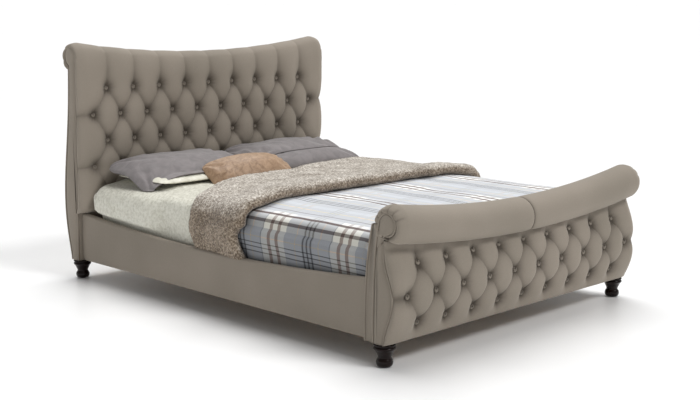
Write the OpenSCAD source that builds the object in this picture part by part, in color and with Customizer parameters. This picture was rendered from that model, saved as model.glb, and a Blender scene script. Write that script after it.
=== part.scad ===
// Upholstered sleigh bed with a deep-buttoned headboard and footboard, on a sprung slat base, dressed with
// a mattress, an underblanket, a duvet, a throw, four pillows and a cushion.
// Millimetres. +Z is up, +Y points from the foot end to the head end, and the origin is on the floor,
// under the middle of the bed.

/* [Mattress] */
// Width of the mattress
mattress_w = 1500; // [1350:10:1830]
// Length of the mattress
mattress_l = 1990; // [1880:10:2100]
// Thickness of the mattress
mattress_t = 220; // [180:5:280]
// Room between the mattress and each side rail
side_gap = 26; // [24:1:40]
// Room between the mattress and the footboard
foot_gap = 5; // [4:1:20]
// Room between the mattress and the headboard's pad
head_gap = 13; // [10:1:30]

/* [Headboard] */
// Height of the roll's centre at the headboard's ends
head_roll_z = 1141; // [950:1:1400]
// Radius of the headboard's roll
head_roll_r = 75; // [60:1:88]
// How far the headboard's crest dips in the middle
head_dip = 66; // [40:1:100]
// Depth of the headboard at its belly
head_belly = 104; // [85:1:130]
// Depth of the headboard at its foot
head_toe = 60; // [55:1:75]
// Thickness of the buttoned pad in front of the headboard
head_pad_t = 50; // [40:1:70]
// Pitch of the headboard's buttons along a row
head_button_pitch = 165.5; // [120:0.5:170]
// Pitch of the headboard's button rows
head_row_pitch = 134; // [100:1:140]

/* [Footboard] */
// Height of the roll's centre at the footboard's ends
foot_roll_z = 575; // [520:1:700]
// Radius of the footboard's roll
foot_roll_r = 82; // [70:1:95]
// How far the footboard's crest dips in the middle
foot_dip = 68; // [40:1:90]
// Depth from the footboard's inner face to the belly of its buttoned pad
foot_belly = 182; // [165:1:200]
// Thickness of the buttoned pad on the outside of the footboard
foot_pad_t = 45; // [30:1:60]
// Pitch of the footboard's buttons along a row
foot_button_pitch = 170; // [120:0.5:172]

/* [Side rails] */
// Height of the side rails at their ends
rail_top = 343; // [320:1:400]
// How far the side rails dip in the middle
rail_dip = 46; // [10:1:60]
// Thickness of a side rail with its cover
rail_t = 36; // [30:1:50]
// Thickness of the board in a side rail
rail_board_t = 22; // [16:1:26]

/* [Feet and slats] */
// Height of the turned feet, with their glide
foot_h = 95; // [80:1:130]
// Radius of the turned feet at the top
foot_top_r = 45; // [38:1:50]
// Thickness of the glide under each foot
glide_t = 3; // [2:0.5:6]
// Height of the mattress's underside
mattress_z = 280; // [270:1:300]
// Number of slats on each side of the centre rail
slat_count = 13; // [9:1:16]
// Width of a slat
slat_w = 53; // [45:1:70]
// Thickness of a slat
slat_t = 8; // [6:1:12]
// How far a slat bows up in the middle
slat_bow = 8; // [4:1:10]

/* [Bedding] */
// Thickness of the underblanket on top of the mattress
blanket_t = 12; // [8:1:20]
// Thickness of the duvet on top of the underblanket
duvet_t = 20; // [15:1:40]
// Thickness of the folded throw
throw_t = 36; // [20:1:50]
// Length of a pillow
pillow_l = 735; // [600:5:740]
// Width of a pillow
pillow_w = 420; // [380:5:430]
// Thickness of a pillow in the middle, as it lies
pillow_t = 74; // [60:1:100]
// Length of the cushion
cushion_l = 560; // [400:5:600]
// Width of the cushion
cushion_w = 260; // [220:5:270]
// Thickness of the cushion in the middle
cushion_t = 90; // [70:1:110]

/* [Hidden] */
$fn = 64;
fit = 0.3;            // gap between curved pieces that lie against each other
cover_t = 5;          // cover and thin padding on a flat board
board_t = 18;         // plywood of the end panels
batten_h = 40;        // height of the battens that the feet screw into
facing_t = 12;        // padded facing on each end of a panel
piping_r = 6;         // width of the piping round a facing
pole_r = 25;          // pole inside each roll
button_r = 12;
button_t = 6;
outline_steps = 24;   // straight steps along a curved outline
leg_count = 3;        // legs under the centre rail, one leveller node each

base_z = foot_h;
rail_in = mattress_w / 2 + side_gap;
rail_out = rail_in + rail_t;
panel_half = rail_out + 20;
overall_half = panel_half + facing_t;
rib_places = [-panel_half, -panel_half / 3, panel_half / 3 - board_t, panel_half - board_t];

// Depths of what the end panels are made of, outwards from the inner face of the footboard, or from the
// plane of the headboard that the side rails meet.
head_core_u = cover_t;
head_rib_u = head_core_u + board_t;
head_neck = head_rib_u + cover_t + 1;
head_roll_u = 17;
head_foot_u = 25;
foot_core_u = 54;
foot_rib_u = foot_core_u + board_t;
foot_roll_u = 124;
foot_foot_u = 83;
foot_toe = 105;       // depth of the footboard's facing at its foot
foot_facing_belly = 151;
foot_x = rail_out - 8;

foot_front = foot_roll_u + foot_roll_r;
inner_l = foot_gap + mattress_l + head_gap + head_pad_t;
overall_l = foot_front + inner_l + head_belly + piping_r;
foot_y = foot_front - overall_l / 2;
head_y = foot_y + inner_l;

// Buttons: rows alternate between nine and ten.
head_rows = 5;
head_row_z = head_roll_z - 163;
foot_row_z = foot_roll_z - 165;
foot_row_pitch = 123;
foot_rows = 3;

// How far up an end panel a height is, from 0 at its foot to 1 at its roll's centre.
function head_share(z) = min(1, max(0, (z - base_z) / (head_roll_z - base_z)));
function foot_share(z) = min(1, max(0, (z - base_z) / (foot_roll_z - base_z)));

// Depth of the headboard's back at a height: straight from toe to neck, with a belly low down.
head_belly_share = 0.31;
head_bump = head_belly - head_toe + (head_toe - head_neck) * head_belly_share;
function head_back(z) =
    let (t = head_share(z), turn = 180 * pow(t, ln(0.5) / ln(head_belly_share)))
    head_toe + (head_neck - head_toe) * t + head_bump * pow(sin(turn), 2.4);

// Depth of the front edge of the headboard's facing: it leans forwards as it rises.
function head_front(z) = 10 - 34 * head_share(z);

// Depth of the footboard's inner face at a height: upright at the rails, leaning out under the roll.
foot_lean = foot_roll_u - foot_roll_r;
function foot_inner(z) = foot_lean * pow(foot_share(z), 3);

// Edges of the footboard's facing: the inner one leans out, and the outer one has a belly.
function foot_facing_inner(z) = foot_core_u + 24 * pow(foot_share(z), 3);
function foot_facing_outer(z) =
    foot_toe + (foot_facing_belly - foot_toe) * pow(sin(180 * min(1, foot_share(z) / 0.75)), 2);

// The belly of the footboard's buttoned pad, an arc that starts from its foot.
foot_pad_toe = 118;
foot_belly_z = base_z + 0.4 * (foot_roll_z - base_z);
foot_pad_r = (pow(foot_belly - foot_pad_toe, 2) + pow(foot_belly_z - base_z, 2))
    / (2 * (foot_belly - foot_pad_toe));
foot_pad_u = foot_belly - foot_pad_r;

// How the crests and the rails dip: the radius of the arc through both ends and the middle.
function dip_radius(half, dip) = (half * half + dip * dip) / (2 * dip);

// Heights of the points along a curved outline.
function head_heights() = [for (i = [0 : outline_steps]) base_z + (head_roll_z - base_z) * i / outline_steps];
function foot_heights() = [for (i = [0 : outline_steps]) base_z + (foot_roll_z - base_z) * i / outline_steps];
function reversed(list) = [for (i = [len(list) - 1 : -1 : 0]) list[i]];

// -- Placing ------------------------------------------------------------------------------------

// Draws children, a profile of depth and height, as a slab from x0 to x1 at the head end.
module at_head(x0, x1) {
    translate([x0, head_y, 0]) rotate([90, 0, 90]) linear_extrude(x1 - x0) children();
}

// The same at the foot end, where depth runs towards -Y.
module at_foot(x0, x1) {
    translate([x1, foot_y, 0]) rotate([90, 0, -90]) linear_extrude(x1 - x0) children();
}

module both_sides() {
    children();
    mirror([1, 0, 0]) children();
}

// A rod of radius r whose middle is dip lower than its ends, on the plane y, between x0 and x1.
module dipped_rod(x0, x1, half, dip, r, y, z_end) {
    big_r = dip_radius(half, dip);
    sweep = 2 * asin((half + 40) / big_r);
    intersection() {
        translate([0, y, z_end - dip + big_r]) rotate([90, 0, 0]) rotate([0, 0, -90 - sweep / 2])
            rotate_extrude(angle = sweep, $fn = 720) translate([big_r, 0]) circle(r, $fn = 128);
        translate([x0, y - 2 * r, z_end - dip - 2 * r]) cube([x1 - x0, 4 * r, dip + 8 * r]);
    }
}

module head_rod(x0, x1, r) {
    dipped_rod(x0, x1, panel_half, head_dip, r, head_y + head_roll_u, head_roll_z);
}

module foot_rod(x0, x1, r) {
    dipped_rod(x0, x1, panel_half, foot_dip, r, foot_y - foot_roll_u, foot_roll_z);
}

// A slab in the plane of the headboard or footboard whose top edge dips in the middle, from y0 to y1.
module dipped_slab(half, dip, y0, y1, z0, z_end) {
    big_r = dip_radius(half, dip);
    translate([0, y1, 0]) rotate([90, 0, 0]) linear_extrude(y1 - y0) difference() {
        translate([-half, z0]) square([2 * half, z_end - z0]);
        translate([0, z_end - dip + big_r]) circle(big_r, $fn = 720);
    }
}

// -- Outlines -----------------------------------------------------------------------------------

// The headboard's facing, a tall panel with a belly and a round head, grown outwards by grow.
module head_facing_2d(grow = 0) {
    zs = head_heights();
    polygon(concat([for (z = zs) [head_back(z) + grow, z]], [for (z = reversed(zs)) [head_front(z) - grow, z]]));
    translate([head_roll_u, head_roll_z]) circle(head_roll_r - 28 + grow);
}

// The footboard's facing, a panel with a belly, a neck and a round head, grown outwards by grow.
module foot_facing_2d(grow = 0) {
    zs = foot_heights();
    polygon(concat([for (z = zs) [foot_facing_outer(z) + grow, z]],
        [for (z = reversed(zs)) [foot_facing_inner(z) - grow, z]]));
    translate([foot_roll_u, foot_roll_z]) circle(foot_roll_r - 40 + grow);
}

// -- Headboard ----------------------------------------------------------------------------------

module headboard_core() {
    color("burlywood") difference() {
        dipped_slab(panel_half, head_dip, head_y + head_core_u, head_y + head_rib_u,
            base_z + batten_h, head_roll_z - head_roll_r + 2);
        head_rod(-panel_half - 1, panel_half + 1, head_roll_r + fit);
        panel_bolt_holes();
    }
}

// Ribs stand behind the core and carry the back cover's curve.
module headboard_ribs() {
    zs = head_heights();
    color("burlywood") difference() {
        for (x = rib_places)
            at_head(x, x + board_t) difference() {
                polygon(concat([for (z = zs) [head_back(z) - cover_t - fit, z]],
                    [[head_rib_u, head_roll_z], [head_rib_u, base_z]]));
                translate([0, base_z - 1]) square([head_belly, batten_h + 1]);
            }
        head_rod(-panel_half - 1, panel_half + 1, head_roll_r + fit);
    }
}

module headboard_batten() {
    color("burlywood") difference() {
        at_head(-panel_half, panel_half)
            translate([head_core_u, base_z]) square([head_toe - 2 * cover_t - fit, batten_h]);
        stud_holes();
    }
}

module headboard_roll_pole() { color("burlywood") head_rod(-panel_half, panel_half, pole_r); }

module headboard_roll() {
    color("darkkhaki") difference() {
        head_rod(-panel_half, panel_half, head_roll_r);
        head_rod(-panel_half - 1, panel_half + 1, pole_r + fit);
    }
}

// The buttoned pad covers the headboard from just above the rails up to the front of the roll.
module headboard_front_pad() {
    color("darkkhaki") difference() {
        dipped_slab(panel_half, head_dip, head_y - head_pad_t, head_y + head_core_u, rail_top, head_roll_z);
        head_rod(-panel_half - 1, panel_half + 1, head_roll_r + fit);
    }
}

module headboard_lower_cover() {
    color("darkkhaki") difference() {
        at_head(-panel_half, panel_half)
            translate([0, base_z]) square([cover_t, rail_top - base_z]);
        panel_bolt_holes();
    }
}

module headboard_back_cover() {
    zs = head_heights();
    color("darkkhaki") difference() {
        at_head(-panel_half, panel_half)
            polygon(concat([for (z = zs) [head_back(z), z]],
                [for (z = reversed(zs)) [head_back(z) - cover_t, z]]));
        head_rod(-panel_half - 1, panel_half + 1, head_roll_r + fit);
        translate([-panel_half - 1, head_y, head_roll_z - head_dip])
            cube([2 * panel_half + 2, head_belly + 1, head_dip + 1]);
    }
}

module headboard_facing() { color("darkkhaki") at_head(panel_half, overall_half) head_facing_2d(); }

module headboard_piping() {
    color("tan") at_head(panel_half, panel_half + piping_r) difference() {
        head_facing_2d(piping_r);
        head_facing_2d(fit);
        translate([-200, 0]) square([400, base_z]);
    }
}

// Rows of nine and ten buttons, half a pitch apart, on the pad's face.
module headboard_buttons() {
    color("darkkhaki") for (row = [0 : head_rows - 1])
        for (i = [0 : 8 + row % 2])
            translate([(i - 4 - (row % 2) / 2) * head_button_pitch, head_y - head_pad_t,
                       head_row_z - row * head_row_pitch])
                rotate([90, 0, 0]) cylinder(h = button_t, r1 = button_r, r2 = button_r - 4);
}

// -- Footboard ----------------------------------------------------------------------------------

module footboard_core() {
    color("burlywood") difference() {
        at_foot(-panel_half, panel_half)
            translate([foot_core_u, base_z + batten_h]) square([board_t, foot_roll_z - base_z - batten_h]);
        foot_top_cut();
        panel_bolt_holes();
    }
}

// What the roll takes away from everything below it.
module foot_top_cut() {
    foot_rod(-panel_half - 1, panel_half + 1, foot_roll_r + fit);
    big_r = dip_radius(panel_half, foot_dip);
    translate([0, foot_y + 10, foot_roll_z - foot_dip + big_r]) rotate([90, 0, 0])
        cylinder(h = foot_front + 20, r = big_r, $fn = 720);
}

// The footboard's section behind its buttoned pad, shrunk by inset from the pad's outer face.
module foot_pad_arc_2d(inset) {
    translate([foot_pad_u, foot_belly_z]) circle(foot_pad_r - inset, $fn = 128);
}

module footboard_ribs() {
    color("burlywood") difference() {
        for (x = rib_places)
            at_foot(x, x + board_t) intersection() {
                foot_pad_arc_2d(foot_pad_t + fit);
                translate([foot_rib_u, base_z + batten_h]) square([foot_belly, foot_roll_z - base_z]);
            }
        foot_top_cut();
    }
}

batten_w = 50;

module footboard_batten() {
    color("burlywood") difference() {
        at_foot(-panel_half, panel_half) translate([foot_core_u, base_z]) square([batten_w, batten_h]);
        stud_holes();
    }
}

module footboard_roll_pole() { color("burlywood") foot_rod(-panel_half, panel_half, pole_r); }

// The roll's cover is sewn in two halves that meet in the middle.
module footboard_roll_half(x0, x1) {
    color("darkkhaki") difference() {
        foot_rod(x0, x1, foot_roll_r);
        foot_rod(-panel_half - 1, panel_half + 1, pole_r + fit);
    }
}

module footboard_outer_pad() {
    color("darkkhaki") difference() {
        at_foot(-panel_half, panel_half) difference() {
            intersection() {
                foot_pad_arc_2d(0);
                translate([foot_rib_u, base_z]) square([foot_belly, foot_roll_z - base_z]);
            }
            foot_pad_arc_2d(foot_pad_t);
            translate([foot_core_u, base_z - 1]) square([batten_w + fit, batten_h + 1 + fit]);
        }
        foot_top_cut();
    }
}

module footboard_inner_pad() {
    color("darkkhaki") difference() {
        at_foot(-panel_half, panel_half)
            polygon(concat([[foot_core_u, foot_roll_z], [foot_core_u, base_z]],
                [for (z = foot_heights()) [foot_inner(z), z]]));
        foot_top_cut();
        panel_bolt_holes();
    }
}

module footboard_facing() { color("darkkhaki") at_foot(panel_half, overall_half) foot_facing_2d(); }

module footboard_piping() {
    color("tan") at_foot(panel_half, panel_half + piping_r) difference() {
        foot_facing_2d(piping_r);
        foot_facing_2d(fit);
        translate([-200, 0]) square([600, base_z]);
    }
}

// Rows of nine and ten buttons that stand square on the pad's belly.
module footboard_buttons() {
    color("darkkhaki") for (row = [0 : foot_rows - 1])
        for (i = [0 : 8 + row % 2]) {
            z = foot_row_z - row * foot_row_pitch;
            tilt = asin((z - foot_belly_z) / foot_pad_r);
            translate([(i - 4 - (row % 2) / 2) * foot_button_pitch,
                       foot_y - foot_pad_u - foot_pad_r * cos(tilt), z])
                rotate([90 - tilt, 0, 0]) translate([0, 0, fit])
                    cylinder(h = button_t, r1 = button_r, r2 = button_r - 4);
        }
}

// -- Feet ---------------------------------------------------------------------------------------

// A turned foot: a wide collar, a bead under it, a waist and a round toe.
module turned_foot() {
    collar_h = 14;
    bead_r = 7;
    toe_r = 15;
    waist_r = foot_top_r - 17;
    toe_z = glide_t + toe_r;
    collar_z = foot_h - collar_h;
    color([0.16, 0.09, 0.07]) difference() {
        rotate_extrude($fn = 96) {
            translate([0, collar_z]) square([foot_top_r - 4, collar_h]);
            translate([foot_top_r - 6, foot_h - 6]) circle(6);
            translate([0, foot_h - 6]) square([foot_top_r - 5, 6]);
            translate([foot_top_r - 5 - bead_r, collar_z - bead_r + 2]) circle(bead_r);
            polygon([[0, toe_z], [waist_r - 1, toe_z], [waist_r, toe_z + 16], [waist_r + 2, toe_z + 26],
                [waist_r + 7, toe_z + 38], [foot_top_r - 9, collar_z - 10], [foot_top_r - 8, collar_z + 1],
                [0, collar_z + 1]]);
            translate([foot_top_r - 12 - toe_r, toe_z]) circle(toe_r);
            translate([0, glide_t]) square([foot_top_r - 12 - toe_r, 2 * toe_r]);
        }
        translate([0, 0, foot_h - 35]) cylinder(h = 40, r = 4.2);
    }
}

module at_feet() {
    for (x = [-foot_x, foot_x], y = [foot_y - foot_foot_u, head_y + head_foot_u])
        translate([x, y, 0]) children();
}

module stud_holes() { at_feet() translate([0, 0, foot_h - 40]) cylinder(h = 70, r = 4.2); }

module foot_studs() { color("silver") at_feet() translate([0, 0, foot_h - 30]) cylinder(h = 56, r = 4); }

module foot_glides() { color("dimgray") at_feet() cylinder(h = glide_t, r = 17); }

// -- Side rails ---------------------------------------------------------------------------------

// A board along the right side between x0 and x1 whose top edge dips, starting inset below the rail's top.
module dipped_board(x0, x1, inset) {
    half = inner_l / 2;
    top = rail_top - inset;
    big_r = dip_radius(half + 5, rail_dip);
    translate([x0, (foot_y + head_y) / 2, 0]) rotate([90, 0, 90]) linear_extrude(x1 - x0) difference() {
        translate([-half, base_z]) square([2 * half, top - base_z]);
        translate([0, top - rail_dip + big_r]) circle(big_r, $fn = 720);
    }
}

rail_pad_t = (rail_t - rail_board_t) / 2;

module side_rail_board() {
    color("burlywood") difference() {
        dipped_board(rail_in + rail_pad_t, rail_out - rail_pad_t, rail_pad_t);
        rail_bolt_holes();
    }
}

module side_rail_cover() {
    color("darkkhaki") difference() {
        dipped_board(rail_in, rail_out, 0);
        dipped_board(rail_in + rail_pad_t, rail_out - rail_pad_t, rail_pad_t);
        rail_bolt_holes();
    }
}

cap_t = 4;                                        // plastic under and over a slat in its cap
slat_z = mattress_z - slat_t - slat_bow - fit;    // underside of a slat at its ends
ledge_top = slat_z - cap_t;
ledge_w = 32;
ledge_h = 20;

module slat_ledge() {
    color("burlywood") translate([rail_in - ledge_w, foot_y + 60, ledge_top - ledge_h])
        cube([ledge_w, inner_l - 120, ledge_h]);
}

// -- Corner brackets ----------------------------------------------------------------------------

bracket_t = 4;
bracket_l = 60;
bracket_z = [base_z + 25, base_z + 105];
bolt_z = [base_z + 45, base_z + 85];
bolt_r = 4;
bolt_back = 35;       // from a bracket's corner to its bolts

module corner_brackets() {
    color("dimgray") both_sides() for (end = [0, 1])
        translate([0, end * (foot_y + head_y), 0]) mirror([0, end, 0]) difference() {
            union() {
                translate([rail_in - bracket_t, foot_y, bracket_z[0]])
                    cube([bracket_t, bracket_l, bracket_z[1] - bracket_z[0]]);
                translate([rail_in - bracket_l, foot_y, bracket_z[0]])
                    cube([bracket_l, bracket_t, bracket_z[1] - bracket_z[0]]);
            }
            rail_bolt_holes_at(foot_y);
            panel_bolt_holes_at(foot_y);
        }
}

module rail_bolt_holes_at(y) {
    for (z = bolt_z) translate([rail_in - 20, y + bolt_back, z]) rotate([0, 90, 0])
        cylinder(h = 20 + rail_pad_t + 12, r = bolt_r + 0.1);
}

module panel_bolt_holes_at(y) {
    for (z = bolt_z) translate([rail_in - bolt_back, y + 20, z]) rotate([90, 0, 0])
        cylinder(h = 20 + foot_core_u + 14, r = bolt_r + 0.1);
}

// The bolt holes of the right side's two corners.
module rail_bolt_holes() {
    rail_bolt_holes_at(foot_y);
    rail_bolt_holes_at(head_y - 2 * bolt_back);
}

// The bolt holes through both end panels.
module panel_bolt_holes() {
    both_sides() {
        panel_bolt_holes_at(foot_y);
        for (z = bolt_z) translate([rail_in - bolt_back, head_y + 19, z]) rotate([90, 0, 0])
            cylinder(h = 40, r = bolt_r + 0.1);
    }
}

// A hex-headed bolt that points along +Z, with its head below the plate's face.
module hex_bolt(length) {
    translate([0, 0, -5.5]) cylinder(h = 5.5, r = 7.5, $fn = 6);
    cylinder(h = length, r = bolt_r);
}

module bracket_bolts() {
    color("silver") both_sides() for (z = bolt_z) {
        for (y = [foot_y + bolt_back, head_y - bolt_back])
            translate([rail_in - bracket_t, y, z]) rotate([0, 90, 0]) hex_bolt(bracket_t + rail_pad_t + 10);
        translate([rail_in - bolt_back, foot_y + bracket_t, z]) rotate([90, 0, 0])
            hex_bolt(bracket_t + foot_core_u + 12);
        translate([rail_in - bolt_back, head_y - bracket_t, z]) rotate([-90, 0, 0])
            hex_bolt(bracket_t + cover_t + 12);
    }
}

// -- Slat base ----------------------------------------------------------------------------------

centre_w = 45;
centre_h = 70;
centre_top = ledge_top;
shoe_t = 4;
leg_r = 20;
stem_r = 5;
leveller_gap = 15;    // from the leveller's pad to its leg
leveller_h = 10;

module centre_rail() {
    color("burlywood") translate([-centre_w / 2, foot_y + shoe_t, centre_top - centre_h])
        cube([centre_w, inner_l - 2 * shoe_t, centre_h]);
}

// A shoe at each end carries the centre rail: a plate on the panel and a shelf under the rail.
module centre_rail_shoes() {
    z0 = centre_top - centre_h - shoe_t;
    color("dimgray") for (end = [0, 1])
        translate([0, end * (foot_y + head_y), 0]) mirror([0, end, 0]) {
            translate([-centre_w, foot_y, z0]) cube([2 * centre_w, shoe_t, centre_h]);
            translate([-centre_w, foot_y, z0]) cube([2 * centre_w, 50, shoe_t]);
        }
}

function leg_y(i) = foot_y + inner_l * (i + 1) / (leg_count + 1);

module centre_legs() {
    z0 = leveller_h + leveller_gap;
    color("dimgray") for (i = [0 : leg_count - 1]) translate([0, leg_y(i), z0]) difference() {
        cylinder(h = centre_top - centre_h - z0, r = leg_r);
        translate([0, 0, -1]) cylinder(h = 61, r = stem_r + 0.08);
    }
}

// A leveller screws up into its leg.
module leveller(i) {
    color("black") translate([0, leg_y(i), 0]) {
        cylinder(h = leveller_h, r = leg_r);
        cylinder(h = leveller_h + leveller_gap + 40, r = stem_r);
    }
}

slat_first = 75;      // from each end of the bed to the first slat's middle
cap_l = 30;
cap_w = slat_w + 6;
slat_x0 = centre_w / 2 - 12;
slat_x1 = rail_in - 4;

function slat_y(i) = foot_y + slat_first + (inner_l - head_pad_t - 2 * slat_first) * i / (slat_count - 1);

// One bowed slat on the right side, between its two caps, grown all round by grow.
slat_steps = 12;

module slat_2d(grow = 0) {
    half = (slat_x1 - slat_x0) / 2 - 4;
    shares = [for (i = [0 : slat_steps]) 2 * i / slat_steps - 1];
    translate([(slat_x0 + slat_x1) / 2, slat_z]) polygon(concat(
        [for (t = shares) [t * (half + grow), slat_bow * (1 - t * t) - grow]],
        [for (t = reversed(shares)) [t * (half + grow), slat_bow * (1 - t * t) + slat_t + grow]]));
}

module slats() {
    color("wheat") for (i = [0 : slat_count - 1])
        translate([0, slat_y(i) + slat_w / 2, 0]) rotate([90, 0, 0]) linear_extrude(slat_w) slat_2d();
}

// Caps on the side ledges hold the outer end of each slat.
module slat_caps_outer() {
    color("dimgray") both_sides() for (i = [0 : slat_count - 1]) difference() {
        translate([slat_x1 - cap_l, slat_y(i) - cap_w / 2, ledge_top]) cube([cap_l, cap_w, slat_t + 2 * cap_t + 2]);
        translate([0, slat_y(i) + slat_w / 2 + fit, 0]) rotate([90, 0, 0])
            linear_extrude(slat_w + 2 * fit) slat_2d(fit);
    }
}

// Double caps on the centre rail hold the inner ends of two slats.
module slat_caps_centre() {
    color("dimgray") for (i = [0 : slat_count - 1]) difference() {
        translate([-slat_x0 - cap_l, slat_y(i) - cap_w / 2, ledge_top])
            cube([2 * (slat_x0 + cap_l), cap_w, slat_t + 2 * cap_t + 2]);
        both_sides() translate([0, slat_y(i) + slat_w / 2 + fit, 0]) rotate([90, 0, 0])
            linear_extrude(slat_w + 2 * fit) slat_2d(fit);
    }
}

// -- Bedding ------------------------------------------------------------------------------------

mattress_y0 = foot_y + foot_gap;
mattress_y1 = mattress_y0 + mattress_l;
mattress_top = mattress_z + mattress_t;
blanket_side = 5;     // underblanket down a side
duvet_side = 8;
throw_side = 7;
drop_z = rail_top - rail_dip - 12;    // how far down the sides the bedding is tucked
duvet_y1 = 40;

// Bedding over the mattress: a slab of the given outer half-width and top, with what lies inside taken out.
module drape(y0, y1, half, top, inner_half, inner_top) {
    difference() {
        translate([-half, y0, drop_z]) cube([2 * half, y1 - y0, top - drop_z]);
        translate([-inner_half, y0 - 1, drop_z - 1])
            cube([2 * inner_half, y1 - y0 + 2, inner_top - drop_z + 1]);
    }
}

blanket_half = mattress_w / 2 + blanket_side;
blanket_top = mattress_top + blanket_t;
duvet_half = blanket_half + duvet_side;
duvet_top = blanket_top + duvet_t;
throw_half = duvet_half + throw_side;
throw_top = duvet_top + throw_t;

module mattress() {
    color("whitesmoke") translate([-mattress_w / 2, mattress_y0, mattress_z])
        cube([mattress_w, mattress_l, mattress_t]);
}

module underblanket() {
    color("ivory") drape(mattress_y0, mattress_y1, blanket_half, blanket_top, mattress_w / 2, mattress_top);
}

module plaid_duvet() {
    color("lightsteelblue") drape(mattress_y0, duvet_y1, duvet_half, duvet_top, blanket_half, blanket_top);
}

// The throw lies across the bed over the duvet's edge, wider on the right.
throw_corners = [[-1, -170], [1, -240], [1, 410], [-1, 220]];

module fleece_throw() {
    color("tan") difference() {
        intersection() {
            translate([-throw_half, mattress_y0, drop_z])
                cube([2 * throw_half, mattress_l, throw_top - drop_z]);
            linear_extrude(throw_top) polygon([for (c = throw_corners) [c[0] * throw_half, c[1]]]);
        }
        translate([-duvet_half, mattress_y0 - 1, drop_z - 1])
            cube([2 * duvet_half, duvet_y1 - mattress_y0 + 1, duvet_top - drop_z + 1]);
        translate([-blanket_half, duvet_y1 - 1, drop_z - 1])
            cube([2 * blanket_half, mattress_l, blanket_top - drop_z + 1]);
    }
}

// Half the thickness of a pillow at a place from -1 to 1 each way, and how far its sides pull in there.
function pillow_crown(p, q) = pow((1 - pow(abs(p), 3)) * (1 - pow(abs(q), 3)), 0.55);
function pillow_pull(p) = 1 - 0.06 * (1 - p * p);

// A stuffed pillow, size = [length, width, thickness], as one closed skin.
module pillow_body(size, nx = 14, ny = 10) {
    function at(i, j, side) = let (p = 2 * i / nx - 1, q = 2 * j / ny - 1)
        [size[0] / 2 * p * pillow_pull(q), size[1] / 2 * q * pillow_pull(p),
         side * size[2] / 2 * pillow_crown(p, q)];
    rim = concat([for (i = [0 : nx - 1]) [i, 0]], [for (j = [0 : ny - 1]) [nx, j]],
        [for (i = [nx : -1 : 1]) [i, ny]], [for (j = [ny : -1 : 1]) [0, j]]);
    inside = [for (j = [1 : ny - 1]) for (i = [1 : nx - 1]) [i, j]];
    n_rim = len(rim);
    n_in = len(inside);
    function index(i, j, side) =
        j == 0 ? i : i == nx ? nx + j : j == ny ? 2 * nx + ny - i : i == 0 ? (2 * nx + 2 * ny - j) % n_rim
        : n_rim + (j - 1) * (nx - 1) + i - 1 + (side < 0 ? n_in : 0);
    points = concat([for (r = rim) at(r[0], r[1], 1)], [for (r = inside) at(r[0], r[1], 1)],
        [for (r = inside) at(r[0], r[1], -1)]);
    // Each cell is two triangles, split so that no triangle lies wholly on the rim at a corner.
    rising = [[[0, 0], [1, 1], [1, 0]], [[0, 0], [0, 1], [1, 1]]];
    falling = [[[0, 0], [0, 1], [1, 0]], [[1, 0], [0, 1], [1, 1]]];
    faces = [for (side = [1, -1]) for (i = [0 : nx - 1]) for (j = [0 : ny - 1])
        for (t = (i < nx / 2) == (j < ny / 2) ? rising : falling)
            let (f = [for (k = t) index(i + k[0], j + k[1], side)])
                side > 0 ? f : [f[0], f[2], f[1]]];
    polyhedron(points, faces);
}

module placed_pillow(size, place, turn) { translate(place) rotate([turn, 0, 0]) pillow_body(size); }

// Two pillows on each side, one on the other, with the upper one tipped a little towards the foot.
pillow_gap = 1.5;
pillow_x = pillow_l / 2 + 8;
pillow_y = head_y - head_pad_t - head_gap - pillow_w / 2;
lower_size = [pillow_l - 25, pillow_w - 15, pillow_t - 14];
lower_z = blanket_top + pillow_gap + lower_size[2] / 2;
upper_size = [pillow_l, pillow_w, pillow_t];
upper_tilt = 3;
upper_z = lower_z + lower_size[2] / 2 + 4 * pillow_gap + pillow_t / 2;
cushion_tilt = 28;
cushion_x = -175;
cushion_y = pillow_y - pillow_w / 2 - cushion_w / 2 * cos(cushion_tilt) - 8;
cushion_z = blanket_top + cushion_w / 2 * sin(cushion_tilt) + 12;

module pillow_lower(side) {
    color("ivory") placed_pillow(lower_size, [side * pillow_x, pillow_y, lower_z], 0);
}

module pillow_upper(side) {
    color("gray") placed_pillow(upper_size, [side * pillow_x, pillow_y, upper_z], upper_tilt);
}

module cushion() {
    color("peru") placed_pillow([cushion_l, cushion_w, cushion_t], [cushion_x, cushion_y, cushion_z], cushion_tilt);
}

// -- Nodes --------------------------------------------------------------------------------------

headboard_core();
headboard_ribs();
headboard_batten();
headboard_roll_pole();
headboard_roll();
headboard_front_pad();
headboard_lower_cover();
headboard_back_cover();
mirror([1, 0, 0]) headboard_facing();  // headboard_facing_left
headboard_facing();  // headboard_facing_right
mirror([1, 0, 0]) headboard_piping();  // headboard_piping_left
headboard_piping();  // headboard_piping_right
headboard_buttons();
translate([-foot_x, head_y + head_foot_u, 0]) turned_foot();  // headboard_foot_left
translate([foot_x, head_y + head_foot_u, 0]) turned_foot();  // headboard_foot_right
footboard_core();
footboard_ribs();
footboard_batten();
footboard_roll_pole();
footboard_roll_half(-panel_half, 0);  // footboard_roll_left
footboard_roll_half(0, panel_half);  // footboard_roll_right
footboard_outer_pad();
footboard_inner_pad();
mirror([1, 0, 0]) footboard_facing();  // footboard_facing_left
footboard_facing();  // footboard_facing_right
mirror([1, 0, 0]) footboard_piping();  // footboard_piping_left
footboard_piping();  // footboard_piping_right
footboard_buttons();
translate([-foot_x, foot_y - foot_foot_u, 0]) turned_foot();  // footboard_foot_left
translate([foot_x, foot_y - foot_foot_u, 0]) turned_foot();  // footboard_foot_right
mirror([1, 0, 0]) side_rail_board();  // side_rail_board_left
side_rail_board();  // side_rail_board_right
mirror([1, 0, 0]) side_rail_cover();  // side_rail_cover_left
side_rail_cover();  // side_rail_cover_right
mirror([1, 0, 0]) slat_ledge();  // slat_ledge_left
slat_ledge();  // slat_ledge_right
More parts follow.
